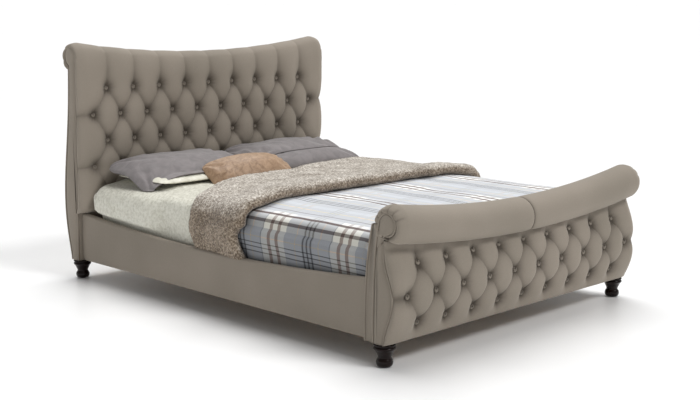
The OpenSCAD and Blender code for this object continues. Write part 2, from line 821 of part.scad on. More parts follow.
corner_brackets();
bracket_bolts();
centre_rail();
centre_rail_shoes();
centre_legs();
leveller(0);  // leveller_foot
leveller(1);  // leveller_middle
leveller(2);  // leveller_head
mirror([1, 0, 0]) slats();  // slats_left
slats();  // slats_right
slat_caps_outer();
slat_caps_centre();
foot_studs();
foot_glides();
mattress();
underblanket();
plaid_duvet();
fleece_throw();
pillow_lower(-1);  // pillow_left_lower
pillow_upper(-1);  // pillow_left_upper
pillow_lower(1);  // pillow_right_lower
pillow_upper(1);  // pillow_right_upper
cushion();
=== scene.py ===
"""Looks of an upholstered sleigh bed with its bedding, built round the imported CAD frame.

Sizes are in millimetres in the classes and turned to metres where a mesh is made. Depth at the headboard
and the footboard is measured outwards from the inner face of that board, as "u".
"""
import logging
import math
from dataclasses import dataclass, field
from enum import Enum
from typing import Callable, Iterable, Optional, Sequence

import bmesh
import bpy
import numpy as np
from mathutils import Matrix, Vector, noise


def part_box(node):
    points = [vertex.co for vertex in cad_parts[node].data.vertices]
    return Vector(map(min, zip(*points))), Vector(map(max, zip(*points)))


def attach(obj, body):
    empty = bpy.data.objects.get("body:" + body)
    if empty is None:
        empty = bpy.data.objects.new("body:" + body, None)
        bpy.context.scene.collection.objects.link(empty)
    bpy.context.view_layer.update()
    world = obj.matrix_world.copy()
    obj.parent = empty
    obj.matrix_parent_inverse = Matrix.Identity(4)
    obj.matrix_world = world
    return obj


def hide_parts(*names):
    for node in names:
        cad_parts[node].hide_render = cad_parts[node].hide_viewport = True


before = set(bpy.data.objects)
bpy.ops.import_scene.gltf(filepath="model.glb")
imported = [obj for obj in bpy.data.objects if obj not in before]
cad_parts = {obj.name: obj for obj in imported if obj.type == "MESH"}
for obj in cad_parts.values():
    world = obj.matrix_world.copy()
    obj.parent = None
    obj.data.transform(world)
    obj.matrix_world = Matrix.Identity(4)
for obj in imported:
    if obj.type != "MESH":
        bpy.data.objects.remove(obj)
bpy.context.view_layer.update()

MM = 0.001
LOG = logging.getLogger("sleigh_bed")


class Body(str, Enum):
    """The bodies that pieces ride on."""

    FRAME = "bed_frame"
    BEDDING = "bedding"
    PILLOW_LEFT_LOWER = "lower_pillow_left"
    PILLOW_LEFT_UPPER = "upper_pillow_left"
    PILLOW_RIGHT_LOWER = "lower_pillow_right"
    PILLOW_RIGHT_UPPER = "upper_pillow_right"
    CUSHION = "scatter_cushion"


class Side(Enum):
    """Left and right of the bed, seen from its foot."""

    LEFT = -1
    RIGHT = 1


# -- Colour and nodes ---------------------------------------------------------------------------


def linear(code: str, alpha: float = 1.0) -> tuple[float, float, float, float]:
    """Turns an sRGB hex colour to linear.

    Args:
        code: the colour as "#rrggbb".
        alpha: the opacity.

    Returns:
        Red, green, blue and alpha for a node's socket.
    """
    parts = [int(code[i:i + 2], 16) / 255 for i in (1, 3, 5)]
    out = [c / 12.92 if c <= 0.04045 else ((c + 0.055) / 1.055) ** 2.4 for c in parts]
    return out[0], out[1], out[2], alpha


def add(tree: bpy.types.NodeTree, kind: str, settings: Optional[dict] = None,
        **inputs: object) -> bpy.types.Node:
    """Adds one node with its settings and its links.

    Args:
        tree: the node tree.
        kind: the node's type.
        settings: attributes to set on the node.
        inputs: values for its sockets, or output sockets to link from; i0, i1 name a socket by its number.

    Returns:
        The node.
    """
    made = tree.nodes.new(kind)
    for name, value in (settings or {}).items():
        setattr(made, name, value)
    for name, value in inputs.items():
        key = int(name[1:]) if name[0] == "i" and name[1:].isdigit() else name.replace("_", " ")
        socket = made.inputs[key]
        if isinstance(value, bpy.types.NodeSocket):
            tree.links.new(value, socket)
        else:
            socket.default_value = value
    return made


def ramp(tree: bpy.types.NodeTree, fac: bpy.types.NodeSocket, stops: Sequence[tuple[float, str]],
         mode: str = "LINEAR") -> bpy.types.NodeSocket:
    """Turns a value to a colour.

    Args:
        tree: the node tree.
        fac: the value.
        stops: positions and hex colours.
        mode: how colours between the stops are found.

    Returns:
        The colour socket.
    """
    made = add(tree, "ShaderNodeValToRGB", Fac=fac)
    made.color_ramp.interpolation = mode
    marks = made.color_ramp.elements
    while len(marks) < len(stops):
        marks.new(0.5)
    for mark, (place, code) in zip(marks, stops):
        mark.position = place
        mark.color = linear(code)
    return made.outputs["Color"]


def math_node(tree: bpy.types.NodeTree, operation: str, a: object, b: object = 0.0,
              c: object = 0.0) -> bpy.types.NodeSocket:
    """Adds a Math node and returns its value."""
    return add(tree, "ShaderNodeMath", {"operation": operation}, i0=a, i1=b, i2=c).outputs[0]


def blend_colour(tree: bpy.types.NodeTree, fac: object, a: object, b: object,
                 mode: str = "MIX") -> bpy.types.NodeSocket:
    """Mixes two colours and returns the result."""
    settings = {"data_type": "RGBA", "blend_type": mode}
    return add(tree, "ShaderNodeMix", settings, i0=fac, i6=a, i7=b).outputs[2]


def map_range(tree: bpy.types.NodeTree, value: object, low: float, high: float, to_low: float = 0.0,
              to_high: float = 1.0) -> bpy.types.NodeSocket:
    """Turns low to high into to_low to to_high, and holds it there beyond."""
    return add(tree, "ShaderNodeMapRange", {"clamp": True}, Value=value, i1=low, i2=high, i3=to_low,
               i4=to_high).outputs[0]


def upward(tree: bpy.types.NodeTree) -> bpy.types.NodeSocket:
    """How far the surface faces up, from -1 to 1."""
    normal = add(tree, "ShaderNodeNewGeometry").outputs["Normal"]
    return add(tree, "ShaderNodeSeparateXYZ", Vector=normal).outputs[2]


def coordinates(tree: bpy.types.NodeTree, uv: bool = False) -> bpy.types.NodeSocket:
    """The piece's own coordinates: its UV map, or Object coordinates."""
    return add(tree, "ShaderNodeTexCoord").outputs["UV" if uv else "Object"]


def grain(tree: bpy.types.NodeTree, where: bpy.types.NodeSocket, size_mm: float, detail: float = 3.0,
          roughness: float = 0.5) -> bpy.types.NodeSocket:
    """Noise whose blobs are about size_mm across."""
    return add(tree, "ShaderNodeTexNoise", Vector=where, Scale=1 / (size_mm * MM * 1.6), Detail=detail,
               Roughness=roughness).outputs["Fac"]


def bump(tree: bpy.types.NodeTree, height: bpy.types.NodeSocket, depth_mm: float,
         strength: float = 1.0, under: Optional[bpy.types.NodeSocket] = None) -> bpy.types.NodeSocket:
    """A bump of depth_mm from a height of 0 to 1, over another bump."""
    made = add(tree, "ShaderNodeBump", Height=height, Distance=depth_mm * MM, Strength=strength)
    if under is not None:
        tree.links.new(under, made.inputs["Normal"])
    return made.outputs["Normal"]


def new_material(name: str) -> tuple[bpy.types.Material, bpy.types.NodeTree, bpy.types.Node]:
    """An empty material, its tree and its shader."""
    material = bpy.data.materials.new(name)
    material.use_nodes = True
    tree = material.node_tree
    tree.nodes.clear()
    shader = add(tree, "ShaderNodeBsdfPrincipled")
    add(tree, "ShaderNodeOutputMaterial", Surface=shader.outputs[0])
    return material, tree, shader


# -- Finishes -----------------------------------------------------------------------------------


@dataclass(frozen=True)
class Velvet:
    """Cut-pile polyester velvet: a short dense pile that is light at grazing angles, with painted shade in
    its folds.
    """

    name: str = "cut_pile_velvet"
    light: str = "#958c81"
    dark: str = "#8b8378"
    # painted shade colour, blended in by the fold attribute in creases, pits, seams and hems
    fold: str = "#453e36"
    brush_mm: float = 260
    pile_mm: float = 2.2   # real pile is 0.3 mm; drawn coarser so that it shows

    def make(self) -> bpy.types.Material:
        """Builds the material."""
        material, tree, shader = new_material(self.name)
        where = coordinates(tree)
        brushed = grain(tree, where, self.brush_mm, 2)
        colour = ramp(tree, brushed, [(0.36, self.dark), (0.64, self.light)])
        pile = grain(tree, where, self.pile_mm, 2, 0.7)
        # Painted light and shade in the pile: lighter tips and darker gaps, by the same noise that bumps it.
        tips = ramp(tree, pile, [(0.3, "#4d463d"), (0.7, "#d8d2c8")])
        colour = blend_colour(tree, 0.12, colour, tips, "SOFT_LIGHT")
        # Painted shade: darkens towards the fold colour where the fold attribute is high.
        depth = add(tree, "ShaderNodeAttribute", {"attribute_name": "fold"}).outputs["Fac"]
        crease = math_node(tree, "MULTIPLY", math_node(tree, "POWER", depth, 2.1), 0.92)
        colour = blend_colour(tree, crease, colour, linear(self.fold))
        tree.links.new(colour, shader.inputs["Base Color"])
        shader.inputs["Roughness"].default_value = 0.82
        shader.inputs["Specular IOR Level"].default_value = 0.25
        shader.inputs["Sheen Weight"].default_value = 0.42
        shader.inputs["Sheen Roughness"].default_value = 0.36
        shader.inputs["Sheen Tint"].default_value = linear("#d9d3c9")
        tree.links.new(bump(tree, pile, 0.3, 0.4, bump(tree, grain(tree, where, 40, 2), 1.2, 0.2)),
                       shader.inputs["Normal"])
        return material


@dataclass(frozen=True)
class Timber:
    """Sawn or laminated wood: long grain along one axis, slightly uneven in tone."""

    name: str
    light: str
    dark: str
    along: tuple[float, float, float]
    grain_mm: float = 5
    roughness: float = 0.6
    coat: float = 0.0
    shine: float = 0.35

    def make(self) -> bpy.types.Material:
        """Builds the material."""
        material, tree, shader = new_material(self.name)
        where = add(tree, "ShaderNodeMapping", Vector=coordinates(tree), Scale=self.along).outputs[0]
        streak = grain(tree, where, self.grain_mm, 6, 0.6)
        tree.links.new(ramp(tree, streak, [(0.3, self.dark), (0.7, self.light)]), shader.inputs["Base Color"])
        shader.inputs["Roughness"].default_value = self.roughness
        shader.inputs["Specular IOR Level"].default_value = self.shine
        shader.inputs["Coat Weight"].default_value = self.coat
        shader.inputs["Coat Roughness"].default_value = 0.12
        tree.links.new(bump(tree, streak, 0.3, 0.4), shader.inputs["Normal"])
        return material


@dataclass(frozen=True)
class Moulded:
    """Moulded, painted or plated surface with a fine grit."""

    name: str
    light: str
    dark: str
    grit_mm: float
    roughness: float
    metallic: float = 0.0

    def make(self) -> bpy.types.Material:
        """Builds the material."""
        material, tree, shader = new_material(self.name)
        grit = grain(tree, coordinates(tree), self.grit_mm, 4, 0.6)
        tree.links.new(ramp(tree, grit, [(0.3, self.dark), (0.7, self.light)]), shader.inputs["Base Color"])
        shader.inputs["Roughness"].default_value = self.roughness
        shader.inputs["Metallic"].default_value = self.metallic
        tree.links.new(bump(tree, grit, 0.12, 0.4), shader.inputs["Normal"])
        return material


@dataclass(frozen=True)
class Fleece:
    """Knitted fleece or boucle: clumps of pile, pale at their tips and dark between, partly the yarn's own
    tone and partly painted light and shade.
    """

    name: str
    tip: str
    middle: str
    root: str
    clump_mm: float
    depth_mm: float
    # the side tint and side mode paint light or shade on faces that do not face up
    painted_side_tint: str = "#ffffff"
    painted_side_mode: str = "MULTIPLY"
    sheen: float = 0.3

    def make(self) -> bpy.types.Material:
        """Builds the material."""
        material, tree, shader = new_material(self.name)
        where = coordinates(tree)
        clumps = grain(tree, where, self.clump_mm, 2.5, 0.65)
        patches = grain(tree, where, self.clump_mm * 9, 1.5)
        mixed = math_node(tree, "ADD", clumps, math_node(tree, "MULTIPLY_ADD", patches, 0.25, -0.125))
        # Partly painted: the clump ramp lights the tips and darkens between the clumps, over the yarn's own
        # tone.
        colour = ramp(tree, mixed, [(0.34, self.root), (0.5, self.middle), (0.66, self.tip)])
        # Painted on faces that do not face up: the side tint, blended by the side mode (screen paints light,
        # multiply paints shade).
        painted_side_share = map_range(tree, upward(tree), 0.15, 0.95, 1.0, 0.0)
        painted_side_colour = blend_colour(tree, 1.0, colour, linear(self.painted_side_tint), self.painted_side_mode)
        colour = blend_colour(tree, painted_side_share, colour, painted_side_colour)
        tree.links.new(colour, shader.inputs["Base Color"])
        shader.inputs["Roughness"].default_value = 0.95
        shader.inputs["Specular IOR Level"].default_value = 0.1
        shader.inputs["Sheen Weight"].default_value = self.sheen
        shader.inputs["Sheen Roughness"].default_value = 0.5
        tree.links.new(bump(tree, clumps, self.depth_mm, 0.9), shader.inputs["Normal"])
        return material


@dataclass(frozen=True)
class PlainCloth:
    """Plain-woven cotton or satin: a fine square weave with soft creases that hold painted shade, and on
    satin painted glints.
    """

    name: str
    light: str
    dark: str
    thread_mm: float = 1.6   # real threads are 0.3 mm; drawn coarser so that they show
    crease_mm: float = 45
    roughness: float = 0.85
    sheen: float = 0.15
    sheen_tint: str = "#ffffff"
    crease_depth_mm: float = 1.2
    # share and colour of the painted glints, pale patches on crushed facets
    painted_glint: float = 0.0
    painted_glint_colour: str = "#ffffff"

    def make(self) -> bpy.types.Material:
        """Builds the material."""
        material, tree, shader = new_material(self.name)
        where = coordinates(tree)
        crease = add(tree, "ShaderNodeTexNoise", Vector=where, Scale=1 / (self.crease_mm * MM), Detail=3.0,
                     Roughness=0.55, Distortion=0.8).outputs["Fac"]
        # Painted shade: darker where the crease noise dips, the same noise that bumps the creases.
        colour = ramp(tree, crease, [(0.35, self.dark), (0.62, self.light)])
        if self.painted_glint > 0:
            # Painted glints: pale patches of the glint colour on random facets.
            crushed = ramp(tree, grain(tree, where, 7, 3, 0.7), [(0.45, "#000000"), (0.72, "#ffffff")])
            share = math_node(tree, "MULTIPLY", crushed, self.painted_glint)
            colour = blend_colour(tree, share, colour, linear(self.painted_glint_colour))
        weave = [add(tree, "ShaderNodeTexWave", {"bands_direction": axis}, Vector=where,
                     Scale=1 / (self.thread_mm * MM * 6.28), Distortion=1.2, Detail=1.0).outputs["Fac"]
                 for axis in ("X", "Y")]
        woven = math_node(tree, "MULTIPLY", *weave)
        tree.links.new(colour, shader.inputs["Base Color"])
        shader.inputs["Roughness"].default_value = self.roughness
        shader.inputs["Specular IOR Level"].default_value = 0.3
        shader.inputs["Sheen Weight"].default_value = self.sheen
        shader.inputs["Sheen Tint"].default_value = linear(self.sheen_tint)
        tree.links.new(bump(tree, woven, 0.25, 0.35, bump(tree, crease, self.crease_depth_mm, 0.5)),
                       shader.inputs["Normal"])
        return material


@dataclass(frozen=True)
class Plaid:
    """Yarn-dyed plaid cotton: grey-blue ground, cream panels, dark and brown bands, thin tan lines, all
    painted lighter where they face up.

    Each stripe is (place, width, colour, strength), in millimetres within the repeat. One set is laid out
    across the bed and the other along it.
    """

    name: str = "yarn_dyed_plaid_cotton"
    ground: str = "#919499"
    repeat: float = 430
    soft_edge: float = 0.8
    across: tuple[tuple[float, float, str, float], ...] = (
        (75, 110, "#dcdad0", 0.80),
        (50, 16, "#33201f", 0.96),
        (99, 16, "#33201f", 0.96),
        (160, 5, "#4a4148", 0.85),
        (205, 6, "#c4a07a", 0.75),
        (250, 30, "#a7aeb7", 0.35),
        (316, 6, "#17151a", 0.95),
        (340, 6, "#17151a", 0.95),
        (364, 6, "#17151a", 0.95),
        (402, 5, "#c4a07a", 0.70),
    )
    along: tuple[tuple[float, float, str, float], ...] = (
        (75, 145, "#e6e3d6", 0.90),
        (50, 20, "#6b5348", 0.92),
        (99, 20, "#6b5348", 0.92),
        (-2, 4, "#4a4a50", 0.80),
        (152, 4, "#4a4a50", 0.80),
        (218, 5, "#c4a07a", 0.65),
        (290, 66, "#6d7279", 0.45),
        (266, 9, "#1b1a1f", 0.94),
        (290, 9, "#1b1a1f", 0.94),
        (314, 9, "#1b1a1f", 0.94),
        (362, 5, "#c4a07a", 0.65),
    )

    def bands(self, tree: bpy.types.NodeTree, stripes: tuple[tuple[float, float, str, float], ...],
              line: bpy.types.NodeSocket, colour: object, shift: float) -> object:
        """Lays the stripes over a colour.

        Args:
            tree: the node tree.
            stripes: the set of stripes.
            line: the distance across the cloth, in metres.
            colour: the colour so far.
            shift: where the repeat starts, in millimetres.

        Returns:
            The colour with the stripes on it.
        """
        turn = math_node(tree, "MULTIPLY", math_node(tree, "ADD", line, shift * MM), 1 / (self.repeat * MM))
        phase = math_node(tree, "MULTIPLY", math_node(tree, "FRACT", turn), self.repeat)
        for place, width, code, strength in stripes:
            away = math_node(tree, "ABSOLUTE", math_node(tree, "SUBTRACT", phase, place))
            outside, inside = width / 2 + self.soft_edge, width / 2 - self.soft_edge
            mask = map_range(tree, away, outside, inside, 0.0, strength)
            colour = blend_colour(tree, mask, colour, linear(code))
        return colour

    def make(self) -> bpy.types.Material:
        """Builds the material."""
        material, tree, shader = new_material(self.name)
        where = coordinates(tree, uv=True)
        parts = add(tree, "ShaderNodeSeparateXYZ", Vector=where)
        lit = map_range(tree, upward(tree), 0.6, 0.98)
        across = self.bands(tree, self.across, parts.outputs[0], linear(self.ground), 396)
        along = self.bands(tree, self.along, parts.outputs[1], linear(self.ground), 23)
        # Painted light: the bands that run across the bed are paled on faces that face up.
        along = blend_colour(tree, math_node(tree, "MULTIPLY", lit, 0.5), along, linear("#b4b6b8"))
        crossed = blend_colour(tree, 0.5, across, along)
        darker = blend_colour(tree, 1.0, across, along, "DARKEN")
        # Painted light and shade: on faces that face up, more of the darker set shows where the two sets
        # cross.
        colour = blend_colour(tree, math_node(tree, "MULTIPLY_ADD", lit, 0.45, 0.5), crossed, darker)
        threads = grain(tree, where, 1.5, 2, 0.8)
        woven = ramp(tree, threads, [(0.35, "#555555"), (0.65, "#cccccc")])
        colour = blend_colour(tree, 0.25, colour, woven, "SOFT_LIGHT")
        # Painted light: faces that face up are screened lighter, twice.
        colour = blend_colour(tree, lit, colour, colour, "SCREEN")
        colour = blend_colour(tree, math_node(tree, "MULTIPLY", lit, 0.4), colour, colour, "SCREEN")
        tree.links.new(colour, shader.inputs["Base Color"])
        shader.inputs["Roughness"].default_value = 0.85
        shader.inputs["Specular IOR Level"].default_value = 0.25
        shader.inputs["Sheen Weight"].default_value = 0.1
        crease = grain(tree, coordinates(tree), 60, 3)
        tree.links.new(bump(tree, threads, 0.2, 0.4, bump(tree, crease, 3.0, 0.4)), shader.inputs["Normal"])
        return material


# -- Mesh tools ---------------------------------------------------------------------------------


def make_piece(name: str, points: np.ndarray, faces: Iterable[Sequence[int]], material: bpy.types.Material,
               fold: Optional[np.ndarray] = None, uv: Optional[np.ndarray] = None,
               angle: float = 180) -> bpy.types.Object:
    """Makes a mesh object whose faces point outwards.

    Args:
        name: the piece's name.
        points: its points in millimetres.
        faces: its faces.
        material: its material.
        fold: how much painted shade each point gets, 0 to 1, mostly by how deep in a fold or seam it is.
        uv: a flat place for each point, in metres.
        angle: edges sharper than this stay sharp, in degrees.

    Returns:
        The object.
    """
    mesh = bpy.data.meshes.new(name)
    mesh.from_pydata((np.asarray(points, float) * MM).tolist(), [], [list(f) for f in faces])
    # The painted shade goes to the velvet as the fold attribute.
    if fold is not None:
        depth = mesh.attributes.new("fold", "FLOAT", "POINT")
        depth.data.foreach_set("value", np.clip(fold, 0, 1).astype(np.float32))
    if uv is not None:
        layer = mesh.uv_layers.new(name="cloth")
        index = np.zeros(len(mesh.loops), np.int32)
        mesh.loops.foreach_get("vertex_index", index)
        layer.data.foreach_set("uv", np.asarray(uv, np.float32)[index].ravel())
    work = bmesh.new()
    work.from_mesh(mesh)
    bmesh.ops.recalc_face_normals(work, faces=work.faces)
    for face in work.faces:
        face.smooth = True
    if angle < 180:
        for edge in work.edges:
            if len(edge.link_faces) == 2 and edge.calc_face_angle(0) > math.radians(angle):
                edge.smooth = False
    work.to_mesh(mesh)
    work.free()
    mesh.materials.append(material)
    made = bpy.data.objects.new(name, mesh)
    bpy.context.scene.collection.objects.link(made)
    return made


def swept_faces(rows: int, columns: int, start: int = 0) -> list[tuple[int, ...]]:
    """Faces of closed loops joined in a row, with a cap at each end.

    Args:
        rows: the number of loops.
        columns: the number of points in a loop.
        start: the index of the first point.

    Returns:
        The faces.
    """
    faces = [(start + i * columns + j, start + (i + 1) * columns + j,
              start + (i + 1) * columns + (j + 1) % columns, start + i * columns + (j + 1) % columns)
             for i in range(rows - 1) for j in range(columns)]
    faces.append(tuple(start + j for j in range(columns)))
    faces.append(tuple(start + (rows - 1) * columns + j for j in reversed(range(columns))))
    return faces


def sweep(name: str, loops: np.ndarray, material: bpy.types.Material, fold: Optional[np.ndarray] = None,
          angle: float = 180) -> bpy.types.Object:
    """A solid from closed loops of equal length."""
    rows, columns = loops.shape[:2]
    return make_piece(name, loops.reshape(-1, 3), swept_faces(rows, columns), material,
                      None if fold is None else np.asarray(fold).reshape(-1), angle=angle)


def tubes(name: str, paths: Sequence[np.ndarray], radius: float, material: bpy.types.Material,
          flat_axis: Vector = Vector((1, 0, 0)), sides: int = 10) -> bpy.types.Object:
    """Round cords along flat paths, as one piece.

    Args:
        name: the piece's name.
        paths: points in millimetres, each path in a plane square to flat_axis.
        radius: the cord's radius.
        material: its material.
        flat_axis: the direction square to the paths.
        sides: points round the cord.

    Returns:
        The object.
    """
    points, faces = [], []
    axis = np.array(flat_axis)
    for path in paths:
        tangent = np.gradient(path, axis=0)
        tangent /= np.linalg.norm(tangent, axis=1)[:, None]
        side = np.cross(tangent, axis)
        turn = np.linspace(0, 2 * math.pi, sides, endpoint=False)
        ring = path[:, None, :] + radius * (np.cos(turn)[None, :, None] * side[:, None, :]
                                            + np.sin(turn)[None, :, None] * axis[None, None, :])
        faces += swept_faces(len(path), sides, sum(len(p) for p in points))
        points.append(ring.reshape(-1, 3))
    points = np.concatenate(points)
    return make_piece(name, points, faces, material, np.zeros(len(points)))


def bezier(a: tuple, b: tuple, c: tuple, d: tuple, count: int) -> np.ndarray:
    """A cubic curve without its first point."""
    t = np.linspace(0, 1, count + 1)[1:, None]
    a, b, c, d = (np.array(v, float)[None, :] for v in (a, b, c, d))
    return (1 - t) ** 3 * a + 3 * t * (1 - t) ** 2 * b + 3 * t * t * (1 - t) * c + t ** 3 * d


def resample(line: Sequence[tuple], count: int) -> np.ndarray:
    """count points evenly along a polyline, without its first point."""
    line = np.asarray(line, float)
    run = np.concatenate([[0], np.cumsum(np.linalg.norm(np.diff(line, axis=0), axis=1))])
    at = np.linspace(0, run[-1], count + 1)[1:]
    return np.stack([np.interp(at, run, line[:, k]) for k in range(line.shape[1])], axis=1)


def smooth_step(value: object, low: float, high: float) -> object:
    """0 below low, 1 above high, and smooth between."""
    t = np.clip((np.asarray(value, float) - low) / (high - low), 0, 1)
    return t * t * (3 - 2 * t)


def arc_rise(x: object, half: float, dip: float) -> object:
    """How far an arc that rises by dip at half has risen at x."""
    radius = (half * half + dip * dip) / (2 * dip)
    return radius - np.sqrt(radius * radius - np.asarray(x, float) ** 2)


def slump(x: object) -> object:
    """How far soft bedding sinks towards the sides of the bed, in millimetres."""
    return 26 * smooth_step(np.abs(x), 540, 775)


def ruffle(points: np.ndarray, size: float, seed: float, octaves: int = 2) -> np.ndarray:
    """Smooth noise from -1 to 1 for each point.

    Args:
        points: places in millimetres.
        size: how far apart its bumps are, in millimetres.
        seed: shifts the noise.
        octaves: how many scales are added.

    Returns:
        One value for each point.
    """
    out = np.zeros(len(points))
    for k in range(octaves):
        grow = 2.0 ** k
        shift = Vector((seed, 7 * k, -seed))
        out += np.array([noise.noise(Vector(p) * (grow / size) + shift) for p in points]) / grow
    return out


def settle(piece: bpy.types.Object, body: Body, replaced: Sequence[str] = ()) -> bpy.types.Object:
    """Says what a piece rides on and the CAD nodes that it stands for."""
    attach(piece, body.value)
    if replaced:
        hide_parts(*replaced)
    LOG.info("%s: %d faces on %s", piece.name, len(piece.data.polygons), body.value)
    return piece


# -- Buttoning ----------------------------------------------------------------------------------


@dataclass(frozen=True)
class Buttoning:
    """Deep diamond buttoning: rows of nine and ten buttons, half a pitch apart, joined by folds."""

    pitch: float
    row_pitch: float
    top_row: float
    rows: int
    dimple: float = 30
    fold_share: float = 0.62
    sharpness: float = 0.5

    def places(self) -> list[tuple[float, float]]:
        """Where the buttons are: x and z."""
        return [((i - 4 - (row % 2) / 2) * self.pitch, self.top_row - row * self.row_pitch)
                for row in range(self.rows) for i in range(9 + row % 2)]

    def distance(self, x: np.ndarray, z: np.ndarray) -> tuple[np.ndarray, np.ndarray]:
        """Distance to the nearest button, and the angle round it."""
        best = np.full(np.shape(x), 1e9)
        angle = np.zeros(np.shape(x))
        for row in range(self.rows):
            half = 4 + (row % 2) / 2
            near = np.clip(np.round(x / self.pitch + half) - half, -half, half) * self.pitch
            dx, dz = x - near, z - (self.top_row - row * self.row_pitch)
            away = np.hypot(dx, dz)
            angle = np.where(away < best, np.arctan2(dz, dx), angle)
            best = np.minimum(best, away)
        return best, angle

    def row_pinch(self, z: np.ndarray) -> np.ndarray:
        """0 level with the rows of ten, where a crease runs out to the side, and 1 between them."""
        m = np.clip((self.top_row - z) / self.row_pitch, 0, self.rows - 1)
        return np.abs(np.sin(math.pi * (m - 1) / 2))

    def puff(self, x: np.ndarray, z: np.ndarray) -> np.ndarray:
        """How full the padding is at a place, from 0 in a button's pit to 1 on a crown."""
        m = np.clip((self.top_row - z) / self.row_pitch, 0, self.rows - 1)
        across = np.abs(x) / self.pitch
        inside = np.abs(np.sin(math.pi * (across - m / 2)) * np.sin(math.pi * (across + m / 2)))
        middle = 2 * np.round(m / 2)
        one = across - 4 - np.abs(m - middle) / 2
        two = across - 4 + np.abs(m - middle) / 2
        rise = np.sin(math.pi * np.clip(one, 0, 0.5)) * np.sin(math.pi * np.clip(two, 0, 0.5))
        fullness = np.where(one > 0, rise * self.row_pinch(z), inside)
        away, angle = self.distance(x, z)
        pit = 1 - np.exp(-(np.maximum(0, away - 7) / self.dimple) ** 2)
        fullness = fullness * (1 - np.exp(-(away / 15) ** 2))
        pucker = 0.05 * np.cos(9 * angle) * np.exp(-((away - 24) / 9) ** 2)
        beyond = smooth_step(z - self.top_row, 0, 90)
        power = self.sharpness * (1 - 0.35 * beyond)
        return self.fold_share * fullness ** power + (1 - self.fold_share) * pit + pucker


@dataclass(frozen=True)
class Column:
    """One cross-section of a padded panel: where it is, and how far round the panel's end it has turned."""

    x: float
    turn: float
    side: int


def panel_columns(half: float, corner: float, step: float, turns: int = 9) -> list[Column]:
    """Cross-sections from the left end of a panel to its right end."""
    inner = half - corner
    count = int(2 * inner / step)
    ends = [k / turns for k in range(1, turns + 1)]
    return ([Column(-inner, t, -1) for t in reversed(ends)]
            + [Column(x, 0.0, 1 if x > 0 else -1) for x in np.linspace(-inner, inner, count)]
            + [Column(inner, t, 1) for t in ends])


def turned_end(outer: np.ndarray, inner: np.ndarray, column: Column, x_end: float,
               bulge: object) -> np.ndarray:
    """Places a cross-section, wrapped round the panel's end by the column's turn.

    Args:
        outer: depth and height of the section's points.
        inner: where each point lands at the end.
        column: the cross-section.
        x_end: distance from the middle at the end.
        bulge: how far the end's padding stands beyond that.

    Returns:
        x, depth and height of each point.
    """
    t = column.turn
    flat = outer + (inner - outer) * (1 - math.cos(math.pi / 2 * t))
    start = abs(column.x)
    reach = start + (x_end + bulge * math.sin(math.pi * t) - start) * math.sin(math.pi / 2 * t)
    return np.column_stack([np.full(len(flat), column.side * reach), flat])


# -- Headboard ----------------------------------------------------------------------------------


